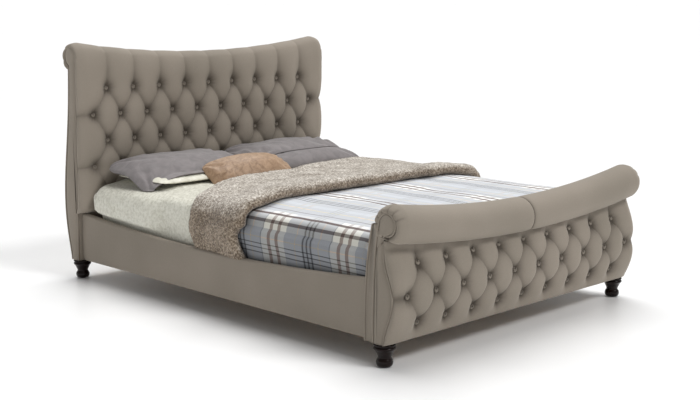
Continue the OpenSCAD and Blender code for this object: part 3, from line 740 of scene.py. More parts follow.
@dataclass
class Headboard:
    """Tall padded end: buttoned pad that runs over a scrolled roll, piped facings and a stretched back."""

    velvet: bpy.types.Material
    half: float = field(default_factory=lambda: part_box("headboard_front_pad")[1].x / MM)
    face_y: float = field(default_factory=lambda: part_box("headboard_lower_cover")[0].y / MM)
    foot_z: float = field(default_factory=lambda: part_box("headboard_lower_cover")[0].z / MM)
    pad_z: float = field(default_factory=lambda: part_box("headboard_front_pad")[0].z / MM)
    roll_top: float = field(default_factory=lambda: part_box("headboard_roll")[1].z / MM)
    roll_u: float = 17
    roll_r: float = 75
    dip: float = 66
    head_r: float = 47
    crown_u: float = -69
    low_crown_u: float = -60.5
    pit_u: float = -28
    toe: float = 60
    neck: float = 29
    belly: float = 104
    belly_share: float = 0.31
    corner: float = 36
    step: float = 5.4

    def __post_init__(self) -> None:
        """Works out the roll's height and the buttoning."""
        self.roll_z = self.roll_top - self.roll_r
        self.buttons = Buttoning(165.5, 134, self.roll_z - 163, 5)

    def share(self, z: object) -> object:
        """How far up the headboard a height is."""
        return np.clip((np.asarray(z, float) - self.foot_z) / (self.roll_z - self.foot_z), 0, 1)

    def back(self, z: object) -> object:
        """Depth of the back at a height."""
        t = self.share(z)
        bump_u = self.belly - self.toe + (self.toe - self.neck) * self.belly_share
        turn = math.pi * t ** (math.log(0.5) / math.log(self.belly_share))
        return self.toe + (self.neck - self.toe) * t + bump_u * np.abs(np.sin(turn)) ** 2.4

    def front(self, z: object) -> object:
        """Depth of the facing's front edge at a height."""
        return 10 - 34 * self.share(z)

    def centre_z(self, x: float) -> float:
        """Height of the roll's centre at a distance from the middle."""
        return self.roll_z - self.dip + float(arc_rise(min(abs(x), self.half), self.half, self.dip))

    def place(self, section: np.ndarray) -> np.ndarray:
        """Turns x, depth and height to x, y and z."""
        return np.column_stack([section[:, 0], self.face_y + section[:, 1], section[:, 2]])

    def pad_section(self, x: float) -> tuple[np.ndarray, np.ndarray, np.ndarray, np.ndarray, np.ndarray]:
        """The pad's outline at a place and how it ends.

        Args:
            x: distance from the middle.

        Returns:
            Its outline, where that lands at the end, painted fold shade, the end's bulge, and each point's
            angle round the roll, or -1 off the roll.
        """
        zc = self.centre_z(x)
        turn = np.linspace(0, math.pi / 2, 8)[:-1]
        foot = np.column_stack([self.low_crown_u * np.sin(turn), self.pad_z + 24 * (1 - np.cos(turn))])
        z = np.linspace(self.pad_z + 24, zc - 60, 126)
        crown = self.low_crown_u + (self.crown_u - self.low_crown_u) * smooth_step(z, 540, 640)
        face = np.column_stack([crown, z])
        a0, a1 = math.radians(40), math.radians(262)
        top = (self.roll_u - self.roll_r * math.cos(a0), zc + self.roll_r * math.sin(a0))
        rise = bezier((self.crown_u, zc - 60), (self.crown_u, zc - 18),
                      (top[0] - 30 * math.sin(a0), top[1] - 34 * math.cos(a0)), top, 22)
        angle = np.linspace(a0, a1, 46)[1:]
        roll = np.column_stack([self.roll_u - self.roll_r * np.cos(angle), zc + self.roll_r * np.sin(angle)])
        closing = np.array([(16, zc - 66), (8, zc - 90), (8, zc - 300), (8, self.pad_z + 60)])
        outer = np.concatenate([foot, face, rise, roll])
        tangent = np.gradient(outer, axis=0)
        normal = np.column_stack([-tangent[:, 1], tangent[:, 0]])
        normal /= np.linalg.norm(normal, axis=1)[:, None]
        n_face = len(foot) + len(face)
        depth = np.concatenate([
            np.linspace(0, 1, len(foot)) * (self.pit_u - self.low_crown_u), self.pit_u - crown,
            np.linspace(self.pit_u - self.crown_u, 17, len(rise)),
            17 * (1 - smooth_step(np.degrees(angle), 45, 118))])
        height = outer[:, 1].copy()
        height[n_face:] = np.maximum(height[n_face:], zc - 60 + np.arange(len(outer) - n_face) * 5)
        full = self.buttons.puff(np.full(len(outer), abs(x)), height)
        outer = outer - normal * (depth * (1 - full))[:, None]
        landing = np.concatenate([
            np.column_stack([np.full(len(foot), 6.0), foot[:, 1]]),
            np.column_stack([self.front(face[:, 1]) - 3, face[:, 1]]),
            resample([(self.front(zc - 60) - 3, zc - 60), (-29, zc - 26),
                      *[(self.roll_u - 50 * math.cos(a), zc + 50 * math.sin(a))
                        for a in np.radians(np.linspace(-24, 40, 12))]], len(rise)),
            np.column_stack([self.roll_u - 50 * np.cos(angle), zc + 50 * np.sin(angle)])])
        # Painted shade: darker deep in the folds and the buttons' pits.
        fold = (1 - full) * depth / 36
        outer, landing = np.concatenate([outer, closing]), np.concatenate([landing, closing])
        pinch = self.buttons.row_pinch(np.concatenate([height, closing[:, 1]])) ** 0.6
        bulge = np.where(np.arange(len(outer)) < n_face + len(rise) // 2, 6 + 15 * pinch, 16)
        along = np.concatenate([np.full(n_face + len(rise), -1.0), angle, np.full(len(closing), -1.0)])
        return outer, landing, np.concatenate([fold, np.zeros(len(closing))]), bulge, along

    def build_pad(self) -> bpy.types.Object:
        """The buttoned pad and the roll, as one stuffed cover."""
        loops, folds = [], []
        for column in panel_columns(self.half, self.corner, self.step):
            outer, landing, fold, bulge, along = self.pad_section(column.x)
            if column.turn > 0:
                gather = np.where(along > 0, np.abs(np.cos(np.maximum(along, 0) * 3.1 + 0.5)) ** 0.5, 1.0)
                bulge = bulge * (0.45 + 0.55 * gather)
                # Painted shade in the gathers round the scroll, and where the cover turns in at the very end.
                fold = np.maximum(fold, (1 - gather) * 0.8 * column.turn)
                fold = np.maximum(fold, 0.5 * max(0.0, column.turn - 0.8) / 0.2)
            loops.append(self.place(turned_end(outer, landing, column, self.half + 3, bulge)))
            folds.append(fold)
        pad = sweep("headboard_buttoned_cover", np.array(loops), self.velvet, np.array(folds))
        settle(pad, Body.FRAME, ["headboard_front_pad", "headboard_roll"])
        return pad

    def edges(self, z: np.ndarray) -> tuple[np.ndarray, np.ndarray]:
        """Depths of the facing's front and back edges, with its round head."""
        spread = np.sqrt(np.maximum(0, self.head_r ** 2 - (z - self.roll_z) ** 2))
        near, far = self.roll_u - spread, self.roll_u + spread
        low = z <= self.roll_z
        return (np.where(low, np.minimum(self.front(z), near), near),
                np.where(low, np.maximum(self.back(z), far), far))

    def outline(self, grow: float) -> np.ndarray:
        """The facing's edge from the floor up, round its head and down the back, grown by grow."""
        z = np.linspace(self.foot_z, self.roll_z, 60)
        front, back = self.edges(z)
        angle = np.radians(np.linspace(3, 177, 40))
        head = np.column_stack([self.roll_u - (self.head_r + grow) * np.cos(angle),
                                self.roll_z + (self.head_r + grow) * np.sin(angle)])
        return np.concatenate([np.column_stack([front - grow, z]), head,
                               np.column_stack([back + grow, z])[::-1]])

    def build_facing(self, side: Side) -> bpy.types.Object:
        """The padded facing on one end, domed between its pipings."""
        z = np.concatenate([np.linspace(self.foot_z, self.roll_z, 70),
                            self.roll_z + self.head_r * np.sin(np.radians(np.linspace(4, 89, 16)))])
        near, far = self.edges(z)
        return facing(f"headboard_facing_{side.name.lower()}", self, side, z, near, far)

    def build_piping(self, side: Side) -> bpy.types.Object:
        """The piping round one facing."""
        line = self.outline(2.5)
        path = self.place(np.column_stack([np.full(len(line), side.value * (self.half + 5.5)), line]))
        made = tubes(f"headboard_piping_{side.name.lower()}_cord", [path], 4.2, self.velvet)
        return settle(made, Body.FRAME, [f"headboard_piping_{side.name.lower()}"])

    def build_back(self) -> bpy.types.Object:
        """The back's cover, stretched over its ribs, with a rolled hem at the foot."""
        loops, folds = [], []
        for x in np.linspace(-self.half, self.half, 120):
            top = self.centre_z(x) - 72
            z = np.linspace(self.foot_z, top, 70)
            third = abs(x) / (self.half / 3)
            slack = 2.2 * math.sin(math.pi * (third if third < 1 else (third - 1) / 2)) ** 2
            skin = self.back(z) - slack
            skin[:2] -= (3, 1)
            skin[-3:] -= (0.5, 2, 5)
            lining = np.column_stack([self.back(z) - 6, z])[::-1]
            section = np.concatenate([np.column_stack([skin, z]), lining])
            loops.append(self.place(np.column_stack([np.full(len(section), x), section])))
            # Painted shade along the hems at the foot and the top of the back.
            folds.append(np.concatenate([[0.4, 0.2], np.zeros(66), [0.4, 0.8], np.zeros(70)]))
        made = sweep("headboard_back_stretched_cover", np.array(loops), self.velvet, np.array(folds), 40)
        settle(made, Body.FRAME, ["headboard_back_cover"])
        return made

    def build_lower_cover(self) -> bpy.types.Object:
        """The plain cover below the pad, pulled over its wadding and turned in at its edges."""
        low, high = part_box("headboard_lower_cover")
        z0, z1, deep = low.z / MM, high.z / MM, (high.y - low.y) / MM
        turn = np.linspace(0, math.pi / 2, 6)
        loops, folds = [], []
        for x in np.linspace(low.x / MM, high.x / MM, 140):
            z = np.linspace(z0 + 2.5, z1 - 2.5, 40)
            slack = 0.5 + 0.5 * np.sin(z / 31 + math.sin(x / 90)) * math.sin(x / 130) ** 2
            front = np.column_stack([slack, z])
            foot = np.column_stack([slack[0] + 2.5 * (1 - np.sin(turn)), z0 + 2.5 * (1 - np.cos(turn))])[:-1]
            head = np.column_stack([slack[-1] + 2.5 * (1 - np.cos(turn)), z1 - 2.5 * (1 - np.sin(turn))])[1:]
            section = np.concatenate([[(deep, z0)], foot, front, head, [(deep, z1)]])
            loops.append(self.place(np.column_stack([np.full(len(section), x), section])))
            # Painted shade on the edges turned in at the foot and the head.
            folds.append(np.concatenate([np.full(6, 0.4), np.zeros(40), np.full(6, 0.4)]))
        made = sweep("headboard_lower_padded_cover", np.array(loops), self.velvet, np.array(folds), 60)
        settle(made, Body.FRAME, ["headboard_lower_cover"])
        return made

    def build_buttons(self) -> bpy.types.Object:
        """Covered buttons pulled into their pits."""
        pits = []
        for x, z in self.buttons.places():
            pits.append((Vector((x, self.face_y + self.pit_u + 2.5, z)), Vector((0, -1, 0))))
        made = covered_buttons("headboard_covered_buttons", pits, self.velvet)
        return settle(made, Body.FRAME, ["headboard_buttons"])

    def build(self) -> None:
        """Builds the whole headboard."""
        self.build_pad()
        self.build_back()
        self.build_lower_cover()
        self.build_buttons()
        for side in Side:
            self.build_facing(side)
            self.build_piping(side)


def facing(node: str, board: object, side: Side, z: np.ndarray, near: np.ndarray,
           far: np.ndarray) -> bpy.types.Object:
    """A padded facing whose face is domed.

    Args:
        node: the CAD node that it stands for.
        board: the headboard or footboard that it is on.
        side: which end it is on.
        z: heights of its rows.
        near: depth of its inner edge in each row.
        far: depth of its outer edge in each row.

    Returns:
        The object.
    """
    across = np.linspace(-1, 1, 15)
    loops, folds = [], []
    for height, a, b in zip(z, near, far):
        half = (b - a) / 2
        dome = 8.0 * min(1.0, half / 20) * (1 - np.abs(across) ** 3)
        face = np.column_stack([side.value * (board.half + 3 + dome), (a + b) / 2 + across * half,
                                np.full(len(across), height)])
        rear = np.column_stack([np.full(2, side.value * (board.half + 0.3)), [b, a], np.full(2, height)])
        loops.append(board.place(np.concatenate([face, rear])))
        # Painted shade along the facing's edges by the piping, and on its back.
        folds.append(np.concatenate([0.9 * np.abs(across) ** 9, [0.6, 0.6]]))
    made = sweep(f"{node}_cover", np.array(loops), board.velvet, np.array(folds))
    settle(made, Body.FRAME, [node])
    return made


def covered_buttons(name: str, places: Sequence[tuple[Vector, Vector]], material: bpy.types.Material,
                    radius: float = 11.5) -> bpy.types.Object:
    """Round covered buttons with a domed top.

    Args:
        name: the piece's name.
        places: the middle of each button's back, in millimetres, and the direction that it faces.
        material: its material.
        radius: a button's radius.

    Returns:
        One object with every button.
    """
    bpy.ops.object.select_all(action="DESELECT")
    bpy.ops.mesh.primitive_cylinder_add(vertices=18, radius=radius * MM, depth=4 * MM, location=(0, 0, 0))
    shape = bpy.context.object
    bpy.ops.object.mode_set(mode="EDIT")
    work = bmesh.from_edit_mesh(shape.data)
    for face in work.faces:
        face.select = face.normal.z > 0.9
    work.select_flush_mode()
    bmesh.update_edit_mesh(shape.data)
    for rise, shrink in ((1.4, 0.95), (1.3, 0.88), (1.0, 0.76), (0.6, 0.6), (0.2, 0.4)):
        bpy.ops.mesh.extrude_region_move(TRANSFORM_OT_translate={"value": (0, 0, rise * MM)})
        bpy.ops.transform.resize(value=(shrink, shrink, 1))
    bpy.ops.object.mode_set(mode="OBJECT")
    base = np.array([v.co for v in shape.data.vertices]) / MM
    base[:, 2] += 2
    rings = [tuple(p.vertices) for p in shape.data.polygons]
    bpy.data.objects.remove(shape)
    points, faces, folds = [], [], []
    for place, direction in places:
        turn = np.array(Vector((0, 0, 1)).rotation_difference(direction).to_matrix())
        faces += [tuple(i + len(points) * len(base) for i in ring) for ring in rings]
        points.append(base @ turn.T + np.array(place))
        # Painted shade: each button is darkened, most at its foot in the pit.
        folds.append(np.clip(1.05 - base[:, 2] / 16, 0, 1))
    return make_piece(name, np.concatenate(points), faces, material, np.concatenate(folds))


# -- Footboard ----------------------------------------------------------------------------------


@dataclass
class Footboard:
    """Low padded end: a bellied buttoned pad under a scrolled roll in two halves, and piped facings."""

    velvet: bpy.types.Material
    half: float = field(default_factory=lambda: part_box("footboard_outer_pad")[1].x / MM)
    face_y: float = field(default_factory=lambda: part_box("footboard_inner_pad")[1].y / MM)
    foot_z: float = field(default_factory=lambda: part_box("footboard_outer_pad")[0].z / MM)
    roll_z: float = 575
    roll_u: float = 124
    roll_r: float = 82
    dip: float = 68
    head_r: float = 42
    belly_z: float = 287
    arc_u: float = -138
    crown_r: float = 329
    pit_r: float = 297
    corner: float = 38
    step: float = 5.4

    def __post_init__(self) -> None:
        """Works out the buttoning."""
        self.buttons = Buttoning(170, 123, self.roll_z - 165, 3)

    def share(self, z: object) -> object:
        """How far up the footboard a height is."""
        return np.clip((np.asarray(z, float) - self.foot_z) / (self.roll_z - self.foot_z), 0, 1)

    def inner(self, z: object) -> object:
        """Depth of the facing's inner edge."""
        return 54 + 28 * self.share(z) ** 3

    def outer(self, z: object) -> object:
        """Depth of the facing's outer edge."""
        return 105 + 46 * np.sin(math.pi * np.minimum(1, self.share(z) / 0.75)) ** 2

    def centre_z(self, x: float) -> float:
        """Height of the roll's centre at a distance from the middle."""
        return self.roll_z - self.dip + float(arc_rise(min(abs(x), self.half), self.half, self.dip))

    def place(self, section: np.ndarray) -> np.ndarray:
        """Turns x, depth and height to x, y and z."""
        return np.column_stack([section[:, 0], self.face_y - section[:, 1], section[:, 2]])

    def seam(self, x: float) -> tuple[float, float]:
        """Where the pad meets the roll."""
        share = min(1.0, abs(x) / self.half) ** 2
        return 148 - 17 * share, self.centre_z(x) - 54 - 5 * share

    def pad_section(self, x: float) -> tuple[np.ndarray, np.ndarray, np.ndarray, np.ndarray]:
        """The outer pad's outline, where it lands at the end, its painted fold shade and its bulge there."""
        zc = self.centre_z(x)
        u_seam, z_seam = self.seam(x)
        turn = np.linspace(0, math.pi / 2, 7)[:-1]
        toe_u = self.arc_u + math.sqrt(self.crown_r ** 2 - (self.foot_z + 14 - self.belly_z) ** 2)
        foot = np.column_stack([96 + (toe_u - 96) * np.sin(turn), self.foot_z - 2 + 16 * (1 - np.cos(turn))])
        z = np.linspace(self.foot_z + 14, zc - 100, 66)
        face = np.column_stack([self.arc_u + np.sqrt(self.crown_r ** 2 - (z - self.belly_z) ** 2), z])
        slope = (face[-1] - face[-2]) / np.linalg.norm(face[-1] - face[-2])
        tuck_u = u_seam + 4 - 3 * min(1.0, abs(x) / self.half) ** 2
        rise = bezier(tuple(face[-1]), tuple(face[-1] + slope * 22), (tuck_u, z_seam - 18),
                      (u_seam - 6, z_seam + 3), 12)
        closing = np.array([(110, z_seam - 4), (76, z_seam - 30), (76, self.foot_z + 60),
                            (76, self.foot_z - 2)])
        outer = np.concatenate([foot, face, rise])
        tangent = np.gradient(outer, axis=0)
        normal = np.column_stack([tangent[:, 1], -tangent[:, 0]])
        normal /= np.linalg.norm(normal, axis=1)[:, None]
        normal[:, 1] *= smooth_step(outer[:, 1], self.foot_z + 10, self.foot_z + 90)
        deepest = self.crown_r - self.pit_r
        opening = 0.35 + 0.65 * smooth_step(face[:, 1], self.foot_z + 10, self.foot_z + 52)
        depth = np.concatenate([np.linspace(0, 0.35, len(foot)) * deepest, opening * deepest,
                                np.linspace(deepest, 9, len(rise))])
        full = self.buttons.puff(np.full(len(outer), abs(x)), outer[:, 1])
        outer = outer - normal * (depth * (1 - full))[:, None]
        heights = np.concatenate([foot[:, 1], face[:, 1], rise[:, 1]])
        landing = np.column_stack([self.outer(heights) + 3, heights])
        # Painted shade: darker deep in the folds and the buttons' pits.
        fold = np.concatenate([(1 - full) * depth / 28, np.zeros(len(closing))])
        bulge = 3 + 15 * self.buttons.row_pinch(np.concatenate([heights, closing[:, 1]])) ** 0.6
        return np.concatenate([outer, closing]), np.concatenate([landing, closing]), fold, bulge

    def build_pad(self) -> bpy.types.Object:
        """The buttoned outer pad."""
        loops, folds = [], []
        for column in panel_columns(self.half, self.corner, self.step):
            outer, landing, fold, bulge = self.pad_section(column.x)
            # Painted shade where the cover turns in at the very end.
            if column.turn > 0.8:
                fold = np.maximum(fold, 0.5 * (column.turn - 0.8) / 0.2)
            loops.append(self.place(turned_end(outer, landing, column, self.half + 3, bulge)))
            folds.append(fold)
        made = sweep("footboard_buttoned_cover", np.array(loops), self.velvet, np.array(folds))
        settle(made, Body.FRAME, ["footboard_outer_pad"])
        return made

    def roll_section(self, x: float) -> tuple[np.ndarray, np.ndarray, np.ndarray]:
        """The roll's outline at a place, where it lands at the end, and the angle of each point."""
        zc = self.centre_z(x)
        u_seam, z_seam = self.seam(x)
        start = math.atan2(z_seam - zc, u_seam - self.roll_u)
        near = math.hypot(z_seam - zc, u_seam - self.roll_u)
        angle = np.linspace(start, math.radians(232), 110)
        blend = smooth_step(np.degrees(angle - start), 0, 30) ** 0.55
        radius = near + (self.roll_r - near) * blend
        outer = np.column_stack([self.roll_u + radius * np.cos(angle), zc + radius * np.sin(angle)])
        landing = np.column_stack([self.roll_u + 46 * np.cos(angle), zc + 46 * np.sin(angle)])
        return outer, landing, angle

    def build_roll(self, side: Side) -> bpy.types.Object:
        """One half of the roll, with a gathered end and a seam in the middle of the bed."""
        inner = self.half - self.corner
        spots = np.concatenate([[0.5, 1.5, 3, 5, 8, 12, 17], np.linspace(24, inner, 120)])
        columns = [Column(x, 0.0, side.value) for x in spots]
        columns += [Column(inner, k / 14, side.value) for k in range(1, 15)]
        loops, folds = [], []
        for column in columns:
            outer, landing, angle = self.roll_section(column.x)
            near_seam = math.exp(-column.x / 7)
            centre = np.array([self.roll_u, self.centre_z(column.x)])
            outer = centre + (outer - centre) * (1 - 0.09 * near_seam)
            # Painted shade at the seam in the middle of the bed and where the roll meets the pad.
            fold = np.full(len(angle), 0.9 * near_seam)
            fold = np.maximum(fold, 0.95 * (1 - smooth_step(np.degrees(angle - angle[0]), 0, 16)))
            bulge = np.full(len(angle), 15.0)
            if column.turn > 0:
                gathered = smooth_step(angle, 0.1, 0.4) * smooth_step(-angle, -3.9, -3.4)
                gather = 1 - (1 - np.abs(np.sin(angle * 6.2)) ** 0.34) * gathered
                depth = smooth_step(column.turn, 0.02, 0.4)
                bulge = 15 * (1 - 0.85 * depth * (1 - gather))
                outer = centre + (outer - centre) * (1 - 0.025 * depth * (1 - gather))[:, None]
                # Painted shade in the gathers and over the very end.
                fold = np.maximum(fold, depth * (1 - gather) * 1.1)
                fold = np.maximum(fold, 0.7 * smooth_step(column.turn, 0.85, 1.0))
            section = turned_end(outer, landing, column, self.half + 3, bulge)
            loops.append(self.place(section))
            folds.append(fold)
        node = f"footboard_roll_{side.name.lower()}"
        made = sweep(f"{node}_cover", np.array(loops), self.velvet, np.array(folds), 60)
        settle(made, Body.FRAME, [node])
        return made

    def build_inner_pad(self) -> bpy.types.Object:
        """The plain pad on the mattress side, with its boxed ends."""
        loops, folds = [], []
        for column in panel_columns(self.half, 10, 12, 5):
            zc = self.centre_z(column.x)
            z = np.linspace(self.foot_z + 8, zc - 8, 50)
            lean = (self.roll_u - self.roll_r) * self.share(z) ** 3
            face = np.column_stack([lean + 0.4, z])
            top = bezier(tuple(face[-1]), (face[-1][0] + 1, zc - 3), (face[-1][0] + 5, zc), (50, zc - 2), 6)
            section = np.concatenate([[(10, self.foot_z - 1), (3, self.foot_z + 3)], face, top,
                                      [(52, zc - 30), (52, self.foot_z + 60), (52, self.foot_z - 1)]])
            landing = section.copy()
            edge = (self.roll_u - self.roll_r) * self.share(section[:, 1]) ** 3
            landing[:, 0] = np.where(section[:, 0] < edge + 12, edge + 5, self.inner(section[:, 1]) - 5)
            loops.append(self.place(turned_end(section, landing, column, self.half + 1, 3.0)))
            # Painted shade along the top, darkest where it tucks in under the roll.
            fold = np.zeros(len(section))
            fold[52:58] = (0.1, 0.3, 0.5, 0.7, 0.9, 1.0)
            folds.append(fold)
        made = sweep("footboard_inner_cover", np.array(loops), self.velvet, np.array(folds))
        settle(made, Body.FRAME, ["footboard_inner_pad"])
        return made

    def build_facing(self, side: Side) -> bpy.types.Object:
        """The padded S-shaped facing on one end."""
        z = np.concatenate([np.linspace(self.foot_z, self.roll_z - self.head_r - 1, 50),
                            self.roll_z + self.head_r * np.sin(np.radians(np.linspace(-86, 89, 34)))])
        spread = np.sqrt(np.maximum(0, self.head_r ** 2 - (z - self.roll_z) ** 2))
        near = np.where(z <= self.roll_z, self.inner(z), self.roll_u - spread)
        body = np.where(z < self.roll_z, self.outer(z), 0)
        far = np.where(spread > 0, np.maximum(body, self.roll_u + spread), body)
        near[z > self.roll_z] = np.maximum(near[z > self.roll_z], self.roll_u - self.head_r)
        return facing(f"footboard_facing_{side.name.lower()}", self, side, z, near, far)

    def build_piping(self, side: Side) -> bpy.types.Object:
        """The piping round one facing, curled in under the scroll, and the two welts of the boxed end."""
        grow = 2.5
        z = np.linspace(self.foot_z, self.roll_z, 60)
        up = np.column_stack([self.inner(z) - grow, z])
        angle = np.radians(np.linspace(177, -108, 70))
        head = np.column_stack([self.roll_u + (self.head_r + grow) * np.cos(angle),
                                self.roll_z + (self.head_r + grow) * np.sin(angle)])
        z = np.linspace(self.roll_z - self.head_r - 8, self.foot_z, 60)
        down = np.column_stack([self.outer(z) + grow, z])
        line = np.concatenate([up, head, down])
        x = side.value * (self.half + 5.5)
        paths = [self.place(np.column_stack([np.full(len(line), x), line]))]
        z = np.linspace(self.foot_z, self.roll_z - 6, 40)
        for welt in ((self.roll_u - self.roll_r) * self.share(z) ** 3 + 4, self.inner(z) - 6):
            edge = np.column_stack([np.full(len(z), side.value * (self.half + 2.5)), welt, z])
            paths.append(self.place(edge))
        made = tubes(f"footboard_piping_{side.name.lower()}_cord", paths, 4.0, self.velvet)
        return settle(made, Body.FRAME, [f"footboard_piping_{side.name.lower()}"])

    def build_buttons(self) -> bpy.types.Object:
        """Covered buttons pulled into their pits, square to the belly."""
        pits = []
        for x, z in self.buttons.places():
            tilt = math.asin((z - self.belly_z) / (self.pit_r + 10))
            u = self.arc_u + (self.pit_r + 2) * math.cos(tilt)
            pits.append((Vector((x, self.face_y - u, self.belly_z + (self.pit_r + 2) * math.sin(tilt))),
                         Vector((0, -math.cos(tilt), math.sin(tilt)))))
        made = covered_buttons("footboard_covered_buttons", pits, self.velvet)
        return settle(made, Body.FRAME, ["footboard_buttons"])

    def build(self) -> None:
        """Builds the whole footboard."""
        self.build_pad()
        self.build_inner_pad()
        self.build_buttons()
        for side in Side:
            self.build_roll(side)
            self.build_facing(side)
            self.build_piping(side)


# -- Rails and feet -----------------------------------------------------------------------------


@dataclass
class SideRails:
    """Padded side rails with a hollow top edge."""

    velvet: bpy.types.Material
    dip: float = 46
    corner: float = 13
    bow: float = 3.2

    def build_rail(self, side: Side) -> bpy.types.Object:
        """One rail's cover."""
        name = f"side_rail_cover_{side.name.lower()}"
        low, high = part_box(name)
        x0, x1 = sorted((abs(low.x) / MM, abs(high.x) / MM))
        y0, y1, z0, z1 = low.y / MM, high.y / MM, low.z / MM - 1.5, high.z / MM
        middle, half = (y0 + y1) / 2, (y1 - y0) / 2
        turn, rise, r = np.linspace(0, math.pi / 2, 6), np.linspace(0, 1, 12)[1:-1], self.corner
        loops, folds = [], []
        for y in np.linspace(y0 + 0.3, y1 - 0.3, 130):
            top = z1 - self.dip + float(arc_rise(y - middle, half + 5, self.dip))
            bow = self.bow * (1 - 0.35 * math.exp(-min(y - y0, y1 - y) / 6))
            section = np.concatenate([
                np.column_stack([x1 - r * (1 - np.sin(turn)), z0 + r * (1 - np.cos(turn))]),
                np.column_stack([x1 + bow * np.sin(math.pi * rise), z0 + r + rise * (top - z0 - 2 * r)]),
                np.column_stack([x1 - r * (1 - np.cos(turn)), top - r * (1 - np.sin(turn))]),
                np.column_stack([x0 + r * (1 - np.sin(turn)), top - r * (1 - np.cos(turn))]),
                [(x0, z0 + 2)]])
            loops.append(np.column_stack([side.value * section[:, 0], np.full(len(section), y),
                                          section[:, 1]]))
            # Painted shade at the rail's ends, where it meets the boards.
            folds.append(np.full(len(section), 0.6 * math.exp(-min(y - y0, y1 - y) / 5)))
        made = sweep(f"side_rail_{side.name.lower()}_padded_cover", np.array(loops), self.velvet,
                     np.array(folds), 50)
        settle(made, Body.FRAME, [name])
        return made

    def build(self) -> None:
        """Builds both rails."""
        for side in Side:
            self.build_rail(side)


@dataclass
class TurnedFeet:
    """Turned and lacquered feet: a collar with two rings, a waist, a bulge and a small base."""

    wood: bpy.types.Material
    profile: tuple[tuple[float, float], ...] = (
        (24, 3), (28, 3.4), (31, 6), (33, 11), (34.2, 17), (34.3, 22), (33, 27), (30.5, 32), (27.6, 36),
        (26.6, 39), (27.2, 43), (29.5, 49), (32.8, 56), (36.2, 63), (39.2, 68.5), (42.6, 71), (44.7, 74),
        (45, 77), (44, 80), (41.4, 82), (39.4, 83), (39.2, 84.2), (41.4, 85.4), (44, 87.4), (44.9, 90),
        (44, 92.6), (41.5, 94.4), (38, 95))

    def build_foot(self, node: str) -> bpy.types.Object:
        """One foot, drawn up from its base ring by ring."""
        low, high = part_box(node)
        x, y = (low.x + high.x) / 2, (low.y + high.y) / 2
        bpy.ops.object.select_all(action="DESELECT")
        first = self.profile[0]
        bpy.ops.mesh.primitive_circle_add(vertices=56, radius=first[0] * MM, fill_type="NGON",
                                          location=(0, 0, first[1] * MM))
        made = bpy.context.object
        bpy.ops.object.mode_set(mode="EDIT")
        bpy.ops.mesh.select_all(action="SELECT")
        for (r0, z0), (r1, z1) in zip(self.profile, self.profile[1:]):
            bpy.ops.mesh.extrude_region_move(TRANSFORM_OT_translate={"value": (0, 0, (z1 - z0) * MM)})
            bpy.ops.transform.resize(value=(r1 / r0, r1 / r0, 1))
        bpy.ops.mesh.select_all(action="SELECT")
        bpy.ops.mesh.normals_make_consistent(inside=False)
        bpy.ops.object.mode_set(mode="OBJECT")
        made.data.transform(made.matrix_world)
        made.location = (0, 0, 0)
        made.data.transform(Matrix.Translation((x, y, 0)))
        made.name = node + "_turned"
        made.data.materials.append(self.wood)
        bpy.ops.object.shade_smooth_by_angle(angle=math.radians(50))
        return settle(made, Body.FRAME, [node])

    def build(self) -> None:
        """Builds the four feet."""
        for board in ("headboard", "footboard"):
            for side in Side:
                self.build_foot(f"{board}_foot_{side.name.lower()}")


# -- Bedding ------------------------------------------------------------------------------------


